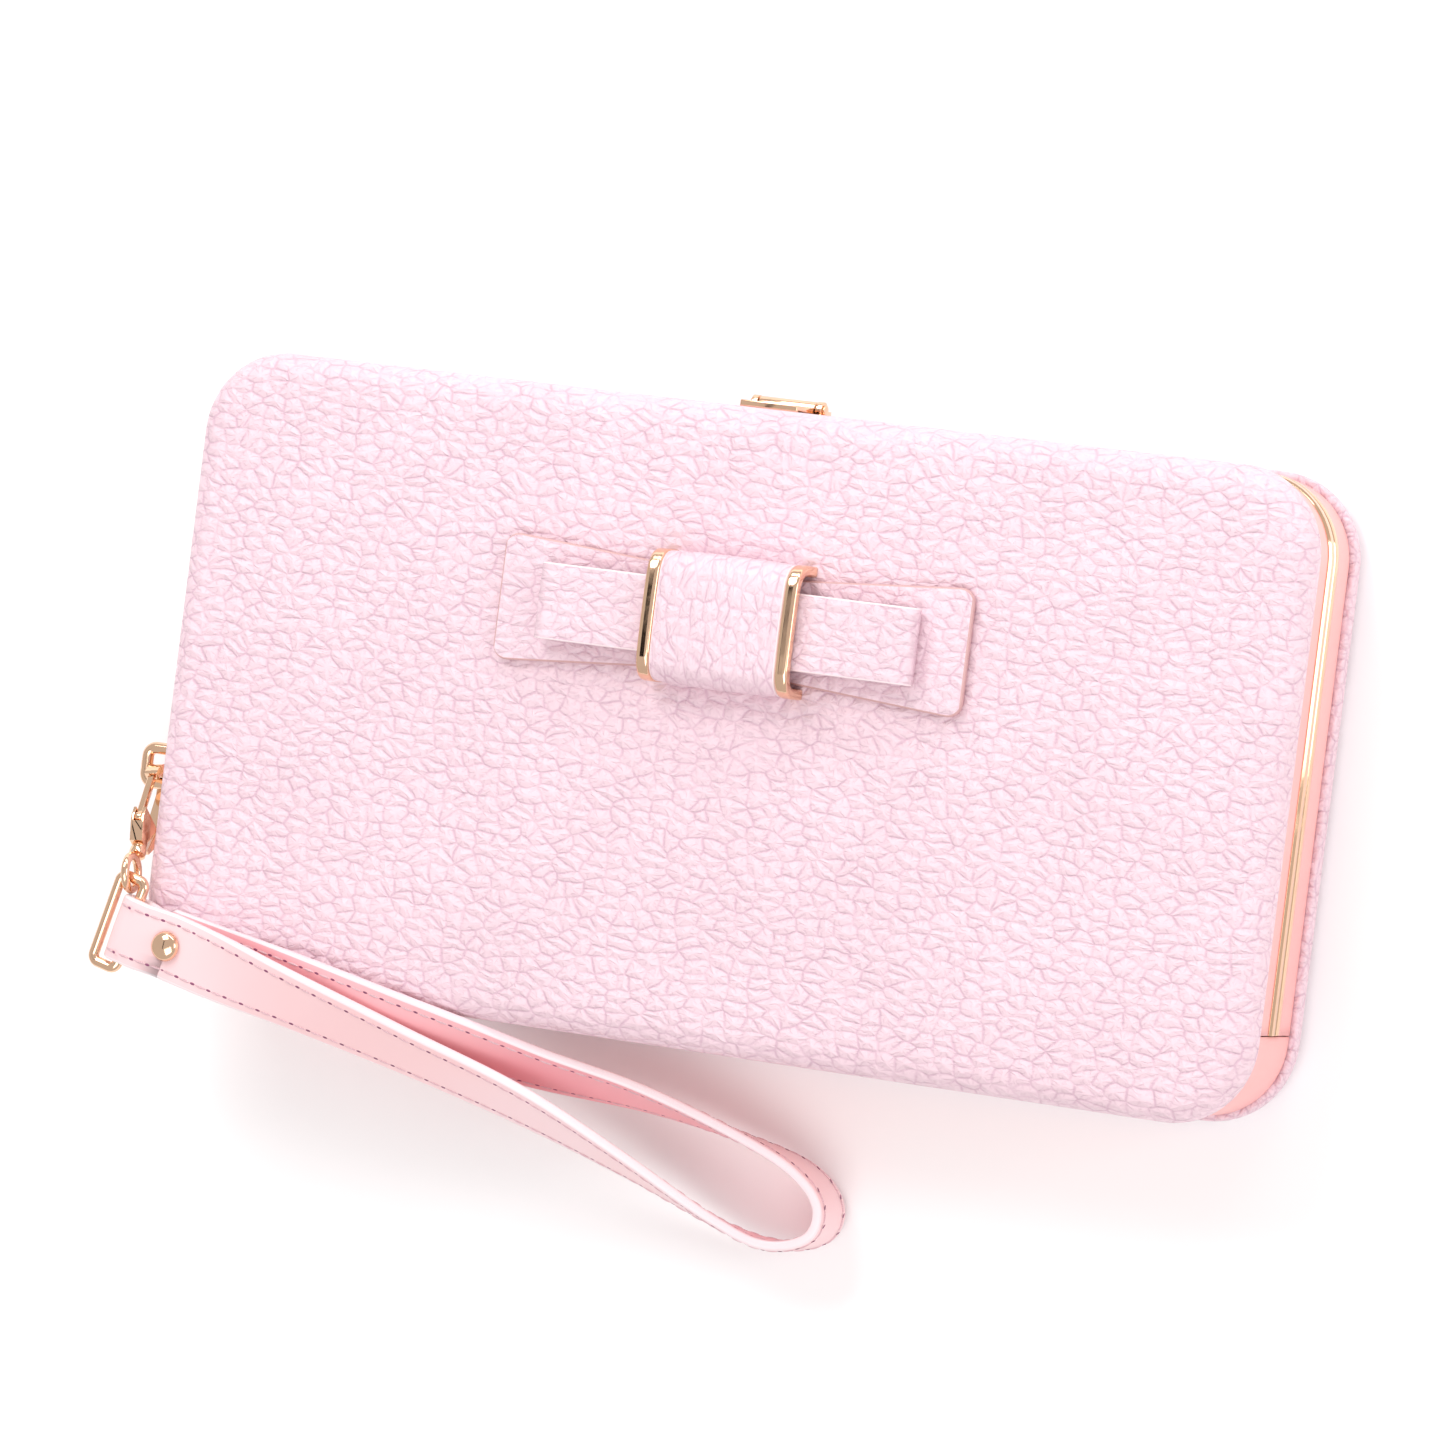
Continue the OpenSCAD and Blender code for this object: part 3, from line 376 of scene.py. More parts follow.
def platedMetal(name, base, low=0.06, high=0.16):
    material, tree, shader = newMaterial(name, base, Metallic=1.0)
    place = addNode(tree, "ShaderNodeTexCoord").outputs["Object"]
    marks = placeGroup(tree, platingGroup, place)
    tree.links.new(mixColors(tree, marks["Haze"], base, tuple(c * 0.93 for c in base)),
                   shader.inputs["Base Color"])
    tree.links.new(rampNode(tree, marks["Haze"], 0.0, 1.0, low, high), shader.inputs["Roughness"])
    bumpInto(tree, shader, marks["Height"], 0.15, 0.00001)
    return material


finish = {
    # in the two litchi leathers the second colour is painted shade in the creases of the grain
    "case": litchiLeather("pinkLitchi", (0.86, 0.635, 0.70), (0.58, 0.33, 0.45)),
    "bow": litchiLeather("pinkLitchiBow", (0.85, 0.635, 0.70), (0.60, 0.35, 0.46), cell=2.0,
                         relief=0.0003),
    # band and spine: the same pink smooth leather as the strap face, painted salmon as it looks in shade
    # (painted shade)
    "band": satinLeather("pinkBandPaintedShade", (0.98, 0.50, 0.47), (0.96, 0.45, 0.43)),
    "strapFace": satinLeather("strapFace", (0.93, 0.66, 0.68), (0.95, 0.62, 0.63), roughness=0.34),
    # back of the strap and the hidden backs of the bow pieces: the face's pink with shade painted in, darker
    # and more salmon
    "strapBackPaintedShade": satinLeather("strapBackPaintedShade", (0.93, 0.45, 0.49), (0.94, 0.50, 0.53), roughness=0.45),
    "edgePaint": satinLeather("edgePaint", (0.94, 0.80, 0.82), (0.93, 0.74, 0.77), roughness=0.3,
                              fineness=5000.0),
    # in each cloth the second colour is painted shade between the threads
    "lining": wovenCloth("liningTwill", (0.88, 0.66, 0.68), (0.70, 0.45, 0.49)),
    "pocket": wovenCloth("pocketTwill", (0.91, 0.70, 0.71), (0.74, 0.50, 0.53), thread=0.5, slant=-1.0),
    "binding": satinLeather("pocketBinding", (0.90, 0.56, 0.60), (0.86, 0.50, 0.55), roughness=0.42),
    "tape": wovenCloth("zipTape", (0.90, 0.60, 0.66), (0.62, 0.34, 0.42), thread=0.35, slant=0.0),
    "bowEdge": satinLeather("bowEdge", (0.66, 0.40, 0.39), (0.60, 0.34, 0.34), roughness=0.3,
                            fineness=5000.0),
    "paleThread": wovenCloth("strapThread", (0.93, 0.66, 0.69), (0.78, 0.46, 0.52), thread=0.12, sheen=0.4),
    "thread": wovenCloth("stitchThread", (0.86, 0.52, 0.62), (0.60, 0.28, 0.42), thread=0.12, sheen=0.4),
    # needle holes: dark marks that stand for the shade inside each hole (painted shade)
    "hole": satinLeather("needleHoleShade", (0.30, 0.09, 0.18), (0.22, 0.06, 0.13), roughness=0.7),
    "gold": platedMetal("roseGold", (0.93, 0.62, 0.42)),
    "steel": platedMetal("springSteel", (0.62, 0.62, 0.63), low=0.2, high=0.35),
    "board": wovenCloth("greyBoard", (0.42, 0.36, 0.31), (0.33, 0.28, 0.24), thread=0.8, sheen=0.0),
}
print("finishes are mixed:", len(finish))


# shared mesh work

def makeObject(name, verts, faces, materials, slots=None, uvs=None, merge=0.0, smooth=True, turnOut=True):
    mesh = bpy.data.meshes.new(name)
    mesh.from_pydata([tuple(map(float, v)) for v in verts], [], [tuple(map(int, f)) for f in faces])
    for material in materials:
        mesh.materials.append(material)
    if slots is not None:
        mesh.polygons.foreach_set("material_index", slots)
    if uvs is not None:
        layer = mesh.uv_layers.new(name="skin")
        index = np.zeros(len(mesh.loops), int)
        mesh.loops.foreach_get("vertex_index", index)
        layer.data.foreach_set("uv", np.asarray(uvs, float)[index].ravel())
    work = bmesh.new()
    work.from_mesh(mesh)
    if merge:
        bmesh.ops.remove_doubles(work, verts=work.verts, dist=merge)
        bmesh.ops.dissolve_degenerate(work, edges=work.edges, dist=merge / 4)
    if turnOut:
        bmesh.ops.recalc_face_normals(work, faces=work.faces)
    for face in work.faces:
        face.smooth = smooth
    work.to_mesh(mesh)
    work.free()
    obj = bpy.data.objects.new(name, mesh)
    scene.collection.objects.link(obj)
    return obj


def settle(obj, body, *nodes, slot=None):
    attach(obj, body)
    if nodes:
        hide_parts(*nodes)
    return obj


# rows of points joined into a skin; rows and columns may each close on themselves
def gridFaces(rows, columns, closeRows=False, closeColumns=False):
    faces = []
    for i in range(rows if closeRows else rows - 1):
        for j in range(columns if closeColumns else columns - 1):
            a, b = i * columns + j, i * columns + (j + 1) % columns
            c, d = ((i + 1) % rows) * columns + (j + 1) % columns, ((i + 1) % rows) * columns + j
            faces.append((a, b, c, d))
    return faces


def roundedRun(points, radius, steps=5):
    # fillets every corner of an open or closed polyline in a plane
    points = [np.array(p, float) for p in points]
    count, out = len(points), []
    for i, p in enumerate(points):
        before, after = points[i - 1] - p, points[(i + 1) % count] - p
        lb, la = np.linalg.norm(before), np.linalg.norm(after)
        cut = min(radius, lb * 0.49, la * 0.49)
        a, b = p + before / lb * cut, p + after / la * cut
        for k in range(steps + 1):
            t = k / steps
            out.append((1 - t) ** 2 * a + 2 * t * (1 - t) * p + t * t * b)
    return out


def tangentsAlong(points):
    steps = np.gradient(points, axis=0)
    return steps / np.linalg.norm(steps, axis=1)[:, None]


def travelAlong(points):
    return np.concatenate([[0], np.cumsum(np.linalg.norm(np.diff(points, axis=0), axis=1))])


def latheMesh(profile, centre, axis, sides=40):
    # profile is [radius, height] along the axis from the centre; its two ends lie on the axis
    axis = Vector(axis).normalized()
    side = axis.orthogonal().normalized()
    other = axis.cross(side)
    verts, faces = [], []
    for r, h in profile:
        for k in range(sides):
            a = 2 * math.pi * k / sides
            spoke = side * math.cos(a) + other * math.sin(a)
            verts.append(Vector(centre) + axis * h + spoke * max(r, 1e-7))
    faces = gridFaces(len(profile), sides, closeColumns=True)
    faces += [tuple(range(sides)), tuple((len(profile) - 1) * sides + k for k in range(sides))]
    return verts, faces


def joinMeshes(parts):
    verts, faces = [], []
    for v, f in parts:
        start = len(verts)
        verts += [tuple(p) for p in v]
        faces += [tuple(start + k for k in face) for face in f]
    return verts, faces


def evaluated(obj):
    # swaps a modified object for a plain mesh of what its modifiers make
    graph = bpy.context.evaluated_depsgraph_get()
    mesh = bpy.data.meshes.new_from_object(obj.evaluated_get(graph))
    obj.modifiers.clear()
    obj.data = mesh
    return obj


def addRounding(obj, width, segments=3, angle=35):
    bevel = obj.modifiers.new("rounding", "BEVEL")
    bevel.width, bevel.segments, bevel.limit_method = width, segments, "ANGLE"
    bevel.angle_limit = math.radians(angle)
    bevel.harden_normals = False
    return evaluated(obj)


# the case: leather covers, bands and spine

caseCover = {
    "cornerRadius": 0.014,
    "edgeRadius": 0.004,
    "thickness": 0.0018,
    "edgeRound": 0.0006,   # turned edge where the leather meets the band
    "padding": 0.0005,     # how far the middle of the face swells over the board
    "cornerSteps": 22,
    "sideStep": 0.004,
}


def caseOutline():
    r = caseCover["cornerRadius"]
    points, normals = [], []
    corners = [(halfX - r, halfY - r), (r - halfX, halfY - r), (r - halfX, r - halfY), (halfX - r, r - halfY)]
    for k, (cx, cy) in enumerate(corners):
        for i in range(caseCover["cornerSteps"] + 1):
            a = math.radians(90 * (k + i / caseCover["cornerSteps"]))
            normals.append((math.cos(a), math.sin(a)))
            points.append((cx + r * math.cos(a), cy + r * math.sin(a)))
        nextCorner = corners[(k + 1) % 4]
        turn = math.radians(90 * (k + 1))
        n = np.array([math.cos(turn), math.sin(turn)])
        start, end = np.array(points[-1]), np.array(nextCorner) + r * n
        steps = max(2, round(np.linalg.norm(end - start) / caseCover["sideStep"]))
        for i in range(1, steps):
            points.append(tuple(start + (end - start) * i / steps))
            normals.append(tuple(n))
    return np.array(points), np.array(normals)


outlinePoints, outlineNormals = caseOutline()
middleX = halfX - halfY


def ringAt(inset, z):
    flat = outlinePoints - outlineNormals * inset
    return np.column_stack([flat, np.full(len(flat), z)])


# loops from a ring in to the middle line of the case
def faceLoops(inset, z, count, swell=0.0):
    ring = ringAt(inset, z)
    spine = np.column_stack([np.clip(ring[:, 0], -middleX, middleX), np.zeros(len(ring)), ring[:, 2]])
    loops = []
    for i in range(count + 1):
        t = i / count
        loop = spine + (ring - spine) * t
        x, y = np.clip(np.abs(loop[:, 0]) / halfX, 0, 1), np.clip(np.abs(loop[:, 1]) / halfY, 0, 1)
        loop[:, 2] += swell * (1 - x ** 4) * (1 - y ** 4)
        loops.append(loop)
    return loops


def caseCoverPiece(name, body, node, front):
    e, t, er = caseCover["edgeRadius"], caseCover["thickness"], caseCover["edgeRound"]
    swell = -caseCover["padding"] if front else 0.0
    loops = faceLoops(e, 0.0, 30, swell)
    travel = [None] * len(loops)
    profile = []
    for i in range(1, 9):
        a = math.radians(90 * i / 8)
        profile.append((e - e * math.sin(a), e - e * math.cos(a)))
    for i in range(1, 4):
        profile.append((0.0, e + (rimZ - er - e) * i / 3))
    for i in range(1, 5):
        a = math.radians(90 * i / 4)
        profile.append((er - er * math.cos(a), rimZ - er + er * math.sin(a)))
    profile += [(t, rimZ), (t, rimZ - er), (t, (rimZ + t) / 2), (t, t + 0.0002), (e, t)]
    last, gone = (e, 0.0), 0.0
    for inset, z in profile:
        gone += math.dist(last, (inset, z))
        last = (inset, z)
        loops.append(ringAt(inset, z))
        travel.append(gone)
    inner = faceLoops(e, t, 6, swell)[::-1][1:]
    loops += inner
    travel += [None] * len(inner)
    flatEdge = outlinePoints - outlineNormals * e
    uvs = []
    for loop, gone in zip(loops, travel):
        uvs.append(loop[:, :2] if gone is None else flatEdge + outlineNormals * gone)
    verts, uvs = np.vstack(loops), np.vstack(uvs)
    if front:
        verts[:, 2] = faceZ - verts[:, 2]
        uvs = uvs + (0.31, 0.17)
    faces = gridFaces(len(loops), len(outlinePoints), closeColumns=True)
    obj = makeObject(name, verts, faces, [finish["case"]], uvs=uvs, merge=2e-6)
    return settle(obj, body, node, slot="litchi_leather")


# part of the outline, from the crossing of limitY on the right side round to the left one
def outlineRun(limitY, above):
    points, normals = outlinePoints, outlineNormals
    keep = points[:, 1] > limitY if above else points[:, 1] < limitY
    start = next(i for i in range(len(keep)) if keep[i] and not keep[i - 1])
    order = [(start + i) % len(keep) for i in range(int(keep.sum()))]
    first, final = order[0], order[-1]

    def crossing(inside, outside):
        p, q = points[inside], points[outside]
        t = (limitY - p[1]) / (q[1] - p[1])
        n = normals[inside] + (normals[outside] - normals[inside]) * t
        return p + (q - p) * t, n / np.linalg.norm(n)

    head = crossing(first, first - 1)
    tail = crossing(final, (final + 1) % len(keep))
    return (np.vstack([head[0], points[order], tail[0]]), np.vstack([head[1], normals[order], tail[1]]))


# a closed section, drawn as [inset, z], drawn along an open run of the outline and capped
def sweepRun(run, section):
    points, normals = run
    verts = []
    for inset, z in section:
        flat = points - normals * inset
        verts.append(np.column_stack([flat, np.full(len(flat), z)]))
    n = len(points)
    faces = gridFaces(len(section), n, closeRows=True)
    faces += [tuple(i * n for i in range(len(section))), tuple(i * n + n - 1 for i in range(len(section)))]
    return np.vstack(verts), faces


def bandSection(inset, thick, low, high, rows, roundBy=0.0004):
    section = []
    for i in range(rows + 1):
        z = low + (high - low) * i / rows
        edge = min(z - low, high - z)
        dip = roundBy * max(0.0, 1 - edge / (roundBy * 1.5)) ** 2
        section.append((inset + dip, z))
    return section + [(inset + thick, high), (inset + thick, low)]


band = {"thickness": 0.0008, "rows": 12, "spineRows": 26}


def caseBand(name, body, node):
    low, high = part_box(node)
    section = bandSection(bandInset, band["thickness"], low.z, high.z, band["rows"])
    verts, faces = sweepRun(outlineRun(wallY, True), section)
    return settle(makeObject(name, verts, faces, [finish["band"]]), body, node, slot="smooth_leather")


def spineSkin(name, node, inset, thick, limitY, material):
    low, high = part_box(node)
    section = bandSection(inset, thick, low.z, high.z, band["spineRows"])
    inner = [(inset + thick, high.z + (low.z - high.z) * i / 12) for i in range(1, 12)]
    verts, faces = sweepRun(outlineRun(limitY, False), section[:-1] + inner + section[-1:])
    obj = makeObject(name, verts, faces, [finish[material]])
    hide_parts(node)
    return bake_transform(obj)


caseCoverPiece("rearCover", "rear_half", "rear_leather", False)
caseCoverPiece("frontCover", "front_half", "front_leather", True)
caseBand("rearBand", "rear_half", "rear_band")
caseBand("frontBand", "front_half", "front_band")
spineSkin("spine", "spine_leather", bandInset, band["thickness"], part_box("spine_leather")[1].y, "band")
print("case is covered")


# ribbons: leather or metal of one thickness that follows a path

# centres, width directions and outward normals are rows of points; widths may change along the way
def ribbonMesh(centres, across, normals, widths, thickness, roundBy, closed=False, crown=0.0,
               uvStart=(0.0, 0.0), faceSteps=6, endRound=True):
    centres, across, normals = (np.array(a, float) for a in (centres, across, normals))
    count = len(centres)
    widths = np.broadcast_to(np.asarray(widths, float), (count,))
    lengths = travelAlong(centres)
    # the section, one point after another: side of the middle, inset from the edge, face, drop
    section = []
    for side in (1, -1):
        section += [(side * (-1 + 2 * i / faceSteps), roundBy, side, 0.0) for i in range(faceSteps + 1)]
        for degrees, face in ((30, side), (60, side), (90, side), (90, -side), (60, -side), (30, -side)):
            a = math.radians(degrees)
            section.append((side, roundBy * (1 - math.sin(a)), face, roundBy * (1 - math.cos(a))))
    columns = len(section)
    edgeSteps = columns // 2 - faceSteps
    slots = [0] * faceSteps + [1] * edgeSteps + [2] * faceSteps + [1] * edgeSteps
    verts, uvs = [], []
    for i in range(count):
        toEnd, dip = min(lengths[i], lengths[-1] - lengths[i]), 0.0
        if endRound and not closed and toEnd < roundBy:
            dip = roundBy - math.sqrt(max(roundBy ** 2 - (roundBy - toEnd) ** 2, 0))
        half = widths[i] / 2 - dip * 0.5
        for share, inset, face, drop in section:
            v = share * (half - inset)
            rise = crown * (1 - (v / half) ** 2) if face > 0 else 0.0
            h = face * (thickness / 2 - drop - dip) + rise
            verts.append(centres[i] + across[i] * v + normals[i] * h)
            uvs.append((uvStart[0] + lengths[i], uvStart[1] + v + math.copysign(drop, share) * face))
    faces = gridFaces(count, columns, closeRows=closed, closeColumns=True)
    faceSlots = slots * (count if closed else count - 1)
    if not closed and endRound:        # paint runs round the ends too
        for i in range(count - 1):
            if min(lengths[i + 1], lengths[-1] - lengths[i]) < roundBy * 1.1:
                faceSlots[i * columns:(i + 1) * columns] = [1] * columns
    if not closed:
        faces += [tuple(range(columns)), tuple((count - 1) * columns + k for k in range(columns))]
        faceSlots += [1, 1]
    return verts, faces, faceSlots, uvs


def addRibbon(name, ribbon, materials):
    verts, faces, slots, uvs = ribbon
    return makeObject(name, verts, faces, [finish[m] for m in materials], slots=slots, uvs=uvs)


def unit(v):
    return v / np.linalg.norm(v)


def evenly(points, spacing):
    # the same polyline with points at an even spacing
    points = np.array(points, float)
    gone = travelAlong(points)
    steps = max(2, int(round(gone[-1] / spacing)))
    at = np.linspace(0, gone[-1], steps + 1)
    return np.column_stack([np.interp(at, gone, points[:, k]) for k in range(points.shape[1])])


# bow

tailsLow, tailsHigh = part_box("bow_tails")
loopLow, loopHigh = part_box("bow_loop")
knotLow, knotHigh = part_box("bow_knot_leather")
sleeveLow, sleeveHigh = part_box("bow_knot_sleeve")
bowX, bowY = (tailsLow.x + tailsHigh.x) / 2, (tailsLow.y + tailsHigh.y) / 2

bow = {
    "waist": 0.015,           # height of the back layer under the knot
    "corner": 0.0026,
    "leather": 0.0012,
    "tailLift": 0.0005,       # the tips of the back layer stand off the face
    "loopEnd": 0.0013,        # radius of the fold at each end of the front layer
    "loopPinch": 0.0004,
    "loopPinchReach": 0.014,
    "knotCorner": 0.0034,
    "knotCrown": 0.0003,
    "sunk": 0.0003,           # feet of the knot below the face
    "archCrown": 0.0004,
    "rimWidth": 0.0022,
    "rimThick": 0.0018,
    "rimRound": 0.00045,
}


def swellAt(x, y):
    return caseCover["padding"] * (1 - (abs(x) / halfX) ** 4) * (1 - (abs(y) / halfY) ** 4)


def bowTails():
    half, corner = (tailsHigh.x - tailsLow.x) / 2, bow["corner"]
    height = tailsHigh.y - tailsLow.y
    nearEnd = half - np.array([0, 0.0001, 0.0003, 0.0006, 0.001, 0.0015, 0.0021, 0.0027])
    s = np.sort(np.concatenate([-nearEnd, np.linspace(-half + 0.0035, half - 0.0035, 60), nearEnd]))
    widths, centres = [], []
    for x in s:
        w = bow["waist"] + (height - bow["waist"]) * abs(x) / half
        toEnd = half - abs(x)
        if toEnd < corner:
            w -= 2 * (corner - math.sqrt(max(corner ** 2 - (corner - toEnd) ** 2, 0)))
        widths.append(w)
        lift = bow["tailLift"] * max(0, (abs(x) - 0.4 * half) / (0.6 * half)) ** 2
        centres.append((bowX + x, bowY, faceZ + swellAt(bowX + x, bowY) + bow["leather"] / 2 + lift))
    n = len(s)
    ribbon = ribbonMesh(centres, [(0, 1, 0)] * n, [(0, 0, 1)] * n, widths, bow["leather"], 0.0003,
                        uvStart=(0.5, 0.2), faceSteps=14)
    return settle(addRibbon("bowTails", ribbon, ("bow", "bowEdge", "strapBackPaintedShade")), "front_half",
                  "bow_tails", slot="litchi_leather")


def bowLoop():
    t = bow["leather"]
    halfLength, low, high = (loopHigh.x - loopLow.x) / 2, loopLow.z, loopHigh.z
    lift = swellAt(bowX, bowY)
    corners = [(-halfLength + t / 2, low + t / 2), (halfLength - t / 2, low + t / 2),
               (halfLength - t / 2, high - t / 2), (-halfLength + t / 2, high - t / 2)]
    path = roundedRun(corners, bow["loopEnd"], 6)
    path = evenly(path + path[:1], 0.0011)[:-1]
    for p in path:                     # drawn together where the knot holds it
        squeeze = bow["loopPinch"] * math.exp(-(p[0] / bow["loopPinchReach"]) ** 2)
        if p[1] > (low + high) / 2:
            p[1] -= squeeze
    path3 = np.array([(bowX + x, bowY, z + lift) for x, z in path])
    tangents = np.roll(path3, -1, 0) - np.roll(path3, 1, 0)
    tangents /= np.linalg.norm(tangents, axis=1)[:, None]
    across = np.array([(0, 1.0, 0)] * len(path3))
    normals = np.cross(across, tangents) * -1
    if normals[len(path3) // 8][2] > 0:
        normals = -normals
    ribbon = ribbonMesh(path3, across, normals, loopHigh.y - loopLow.y, t, 0.00025, closed=True,
                        uvStart=(0.9, 0.5), faceSteps=10)
    return settle(addRibbon("bowLoop", ribbon, ("bow", "edgePaint", "strapBackPaintedShade")), "front_half",
                  "bow_loop", slot="litchi_leather")


def archPath(halfWidth, top, corner, spacing=0.0007):
    base = faceZ - bow["sunk"]
    arch = [(-halfWidth, base), (-halfWidth, top), (halfWidth, top), (halfWidth, base)]
    rounded = [np.array(arch[0])] + roundedRun(arch, corner, 8)[9:27] + [np.array(arch[3])]
    path = evenly(rounded, spacing)
    for p in path:
        p[1] += bow["archCrown"] * (1 - (p[0] / halfWidth) ** 2) * (p[1] - base) / (top - base)
    return path


def alongArch(path, x, width, thickness, roundBy, crown=0.0, uvStart=(0, 0), faceSteps=10):
    lift = swellAt(bowX, bowY)
    centres = np.array([(x, bowY + y, z + lift) for y, z in path])
    tangents = tangentsAlong(centres)
    across = np.array([(1.0, 0, 0)] * len(centres))
    normals = np.cross(across, tangents)
    return ribbonMesh(centres, across, normals, width, thickness, roundBy, crown=crown, uvStart=uvStart,
                      faceSteps=faceSteps, endRound=False)


def bowKnot():
    halfKnot, leatherTop = (knotHigh.y - knotLow.y) / 2, knotHigh.z
    thick = bow["leather"]
    path = archPath(halfKnot - thick / 2, leatherTop - thick / 2, bow["knotCorner"])
    width = knotHigh.x - knotLow.x
    ribbon = alongArch(path, bowX, width, thick, 0.0003, bow["knotCrown"], (0.2, 0.9), 16)
    settle(addRibbon("knotLeather", ribbon, ("bow", "edgePaint", "strapBackPaintedShade")), "front_half",
           "bow_knot_leather", slot="litchi_leather")
    halfRim, rimTop = (sleeveHigh.y - sleeveLow.y) / 2, sleeveHigh.z
    rimThick = bow["rimThick"]
    path = archPath(halfRim - rimThick / 2, rimTop - rimThick / 2, bow["knotCorner"])
    rims = [alongArch(path, bowX + side * (width + bow["rimWidth"]) / 2, bow["rimWidth"], rimThick,
                      bow["rimRound"], faceSteps=4)[:2] for side in (-1, 1)]
    settle(makeObject("knotRims", *joinMeshes(rims), [finish["gold"]]), "front_half", "bow_knot_sleeve",
           slot="rose_gold")


bowTails()
bowLoop()
bowKnot()
print("bow is folded")


# wrist strap

ringLow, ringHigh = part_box("strap_ring")
ringCentre = (np.array(ringLow) + np.array(ringHigh)) / 2

strap = {
    "width": 0.011,
    "thickness": 0.0016,
    "edgeRound": 0.00045,
    "turn": -14,          # degrees, the way the strap leaves its ring
    "barOut": 0.0023,     # from the ring's middle to its right bar
    "barRadius": 0.0009,
    "shift": 0.0006,      # towards the foot of the ring
    "gap": 0.00008,       # between layers
    "stand": 0.0003,      # lowest layer above the face
    "lying": 0.0009,      # lower edge above the table
    "stitchInset": 0.0016,
}

# each stop is a kind of height, x and y from the ring's middle in millimetres, the height, and the
# rise of the upper edge in degrees; heights are layers up, millimetres above the lowest layer, the
# share of the fall still to go, or millimetres above the lie on the table
strapRoute = [
    ("layer", 10.4, -2.8, 2, 0), ("layer", 15.4, -4.1, 2, 2), ("above", 30.9, -8, 2.7, 28),
    ("above", 50.9, -14, -2.6, 45), ("above", 70.4, -20.5, -9.1, 53), ("share", 87.4, -28, 0.313, 66),
    ("share", 103.4, -35.5, 0.092, 78), ("ground", 112.9, -37.8, 0.4, 88), ("ground", 120.4, -35.5, 0, 90),
    ("ground", 121.4, -30, 0, 90), ("ground", 115.9, -24.8, 0.4, 90), ("share", 104.4, -20.8, 0.106, 80),
    ("share", 89.4, -17, 0.29, 67), ("above", 72.4, -14.3, -10.1, 52), ("above", 52.4, -10.1, -2, 32),
    ("above", 32.4, -6.3, 0.7, 14), ("layer", 18.4, -4.1, 0, 0), ("layer", 8, -2.1, 0, 0)]


def strapLine():
    turn = math.radians(strap["turn"])
    along = np.array([math.cos(turn), math.sin(turn), 0])
    across = np.array([-math.sin(turn), math.cos(turn), 0])
    t, gap = strap["thickness"], strap["gap"]
    layer = t + gap
    lowLayer = faceZ + strap["stand"] + t / 2
    lying = strap["width"] / 2 + strap["lying"]
    heights = {"layer": lambda v: lowLayer + v * layer, "above": lambda v: lowLayer + v * mm,
               "share": lambda v: lying + v * (lowLayer - lying), "ground": lambda v: lying + v * mm}
    route = np.array([(ringCentre[0] + x * mm, ringCentre[1] + y * mm, heights[kind](v), rise)
                      for kind, x, y, v, rise in strapRoute])
    bar = ringCentre + along * strap["barOut"] - across * strap["shift"]
    foldRadius = strap["barRadius"] + gap + t / 2
    up = np.array([0, 0, 1.0])
    rows = [(bar + along * d * mm + up * (lowLayer + layer - bar[2]), 0.0) for d in (12, 10.5, 9, 7, 5.5, 4)]
    rows.append((bar + along * 0.0015 - up * foldRadius, 0.0))
    for a in np.radians(np.linspace(-90, 90, 15)):
        rows.append((bar - along * foldRadius * math.cos(a) + up * foldRadius * math.sin(a), 0.0))
    rows.append((bar + along * 0.003 + up * foldRadius, 0.0))
    last = len(route) - 1
    for i in range(last):
        a, b, c, d = route[max(i - 1, 0)], route[i], route[i + 1], route[min(i + 2, last)]
        for t in np.linspace(0, 1, 12, endpoint=False):
            p = 0.5 * (2 * b + (c - a) * t + (2 * a - 5 * b + 4 * c - d) * t ** 2
                       + (3 * b - a - 3 * c + d) * t ** 3)
            rows.append((p[:3], p[3]))
    rows.append((route[last][:3], route[last][3]))
    centres = np.array([r[0] for r in rows])
    tangents = tangentsAlong(centres)
    widths, normals = [], []
    for (p, rise), tangent in zip(rows, tangents):
        a = math.radians(rise)
        w = across * math.cos(a) + up * math.sin(a)
        w = unit(w - tangent * (tangent @ w))
        widths.append(w)
        normals.append(np.cross(tangent, w))
    return centres, np.array(widths), np.array(normals)


strapCentres, strapAcross, strapNormals = strapLine()


def wristStrap():
    ribbon = ribbonMesh(strapCentres, strapAcross, strapNormals, strap["width"], strap["thickness"],
                        strap["edgeRound"], crown=0.00008, faceSteps=8)
    return settle(addRibbon("wristStrap", ribbon, ("strapFace", "edgePaint", "strapBackPaintedShade")), "strap",
                  "strap_loop", slot="smooth_leather")


wristStrap()
print("strap is folded round its ring")


# stitches, laid by Geometry Nodes along guide lines that carry the direction out of the leather

def geometryTree(name, inputs):
    tree = bpy.data.node_groups.new(name, "GeometryNodeTree")
    tree.interface.new_socket("Geometry", in_out="INPUT", socket_type="NodeSocketGeometry")
    for socketName, kind, value in inputs:
        socket = tree.interface.new_socket(socketName, in_out="INPUT", socket_type=kind)
        if value is not None:
            socket.default_value = value
    tree.interface.new_socket("Geometry", in_out="OUTPUT", socket_type="NodeSocketGeometry")
    return tree, tree.nodes.new("NodeGroupInput").outputs, tree.nodes.new("NodeGroupOutput").inputs


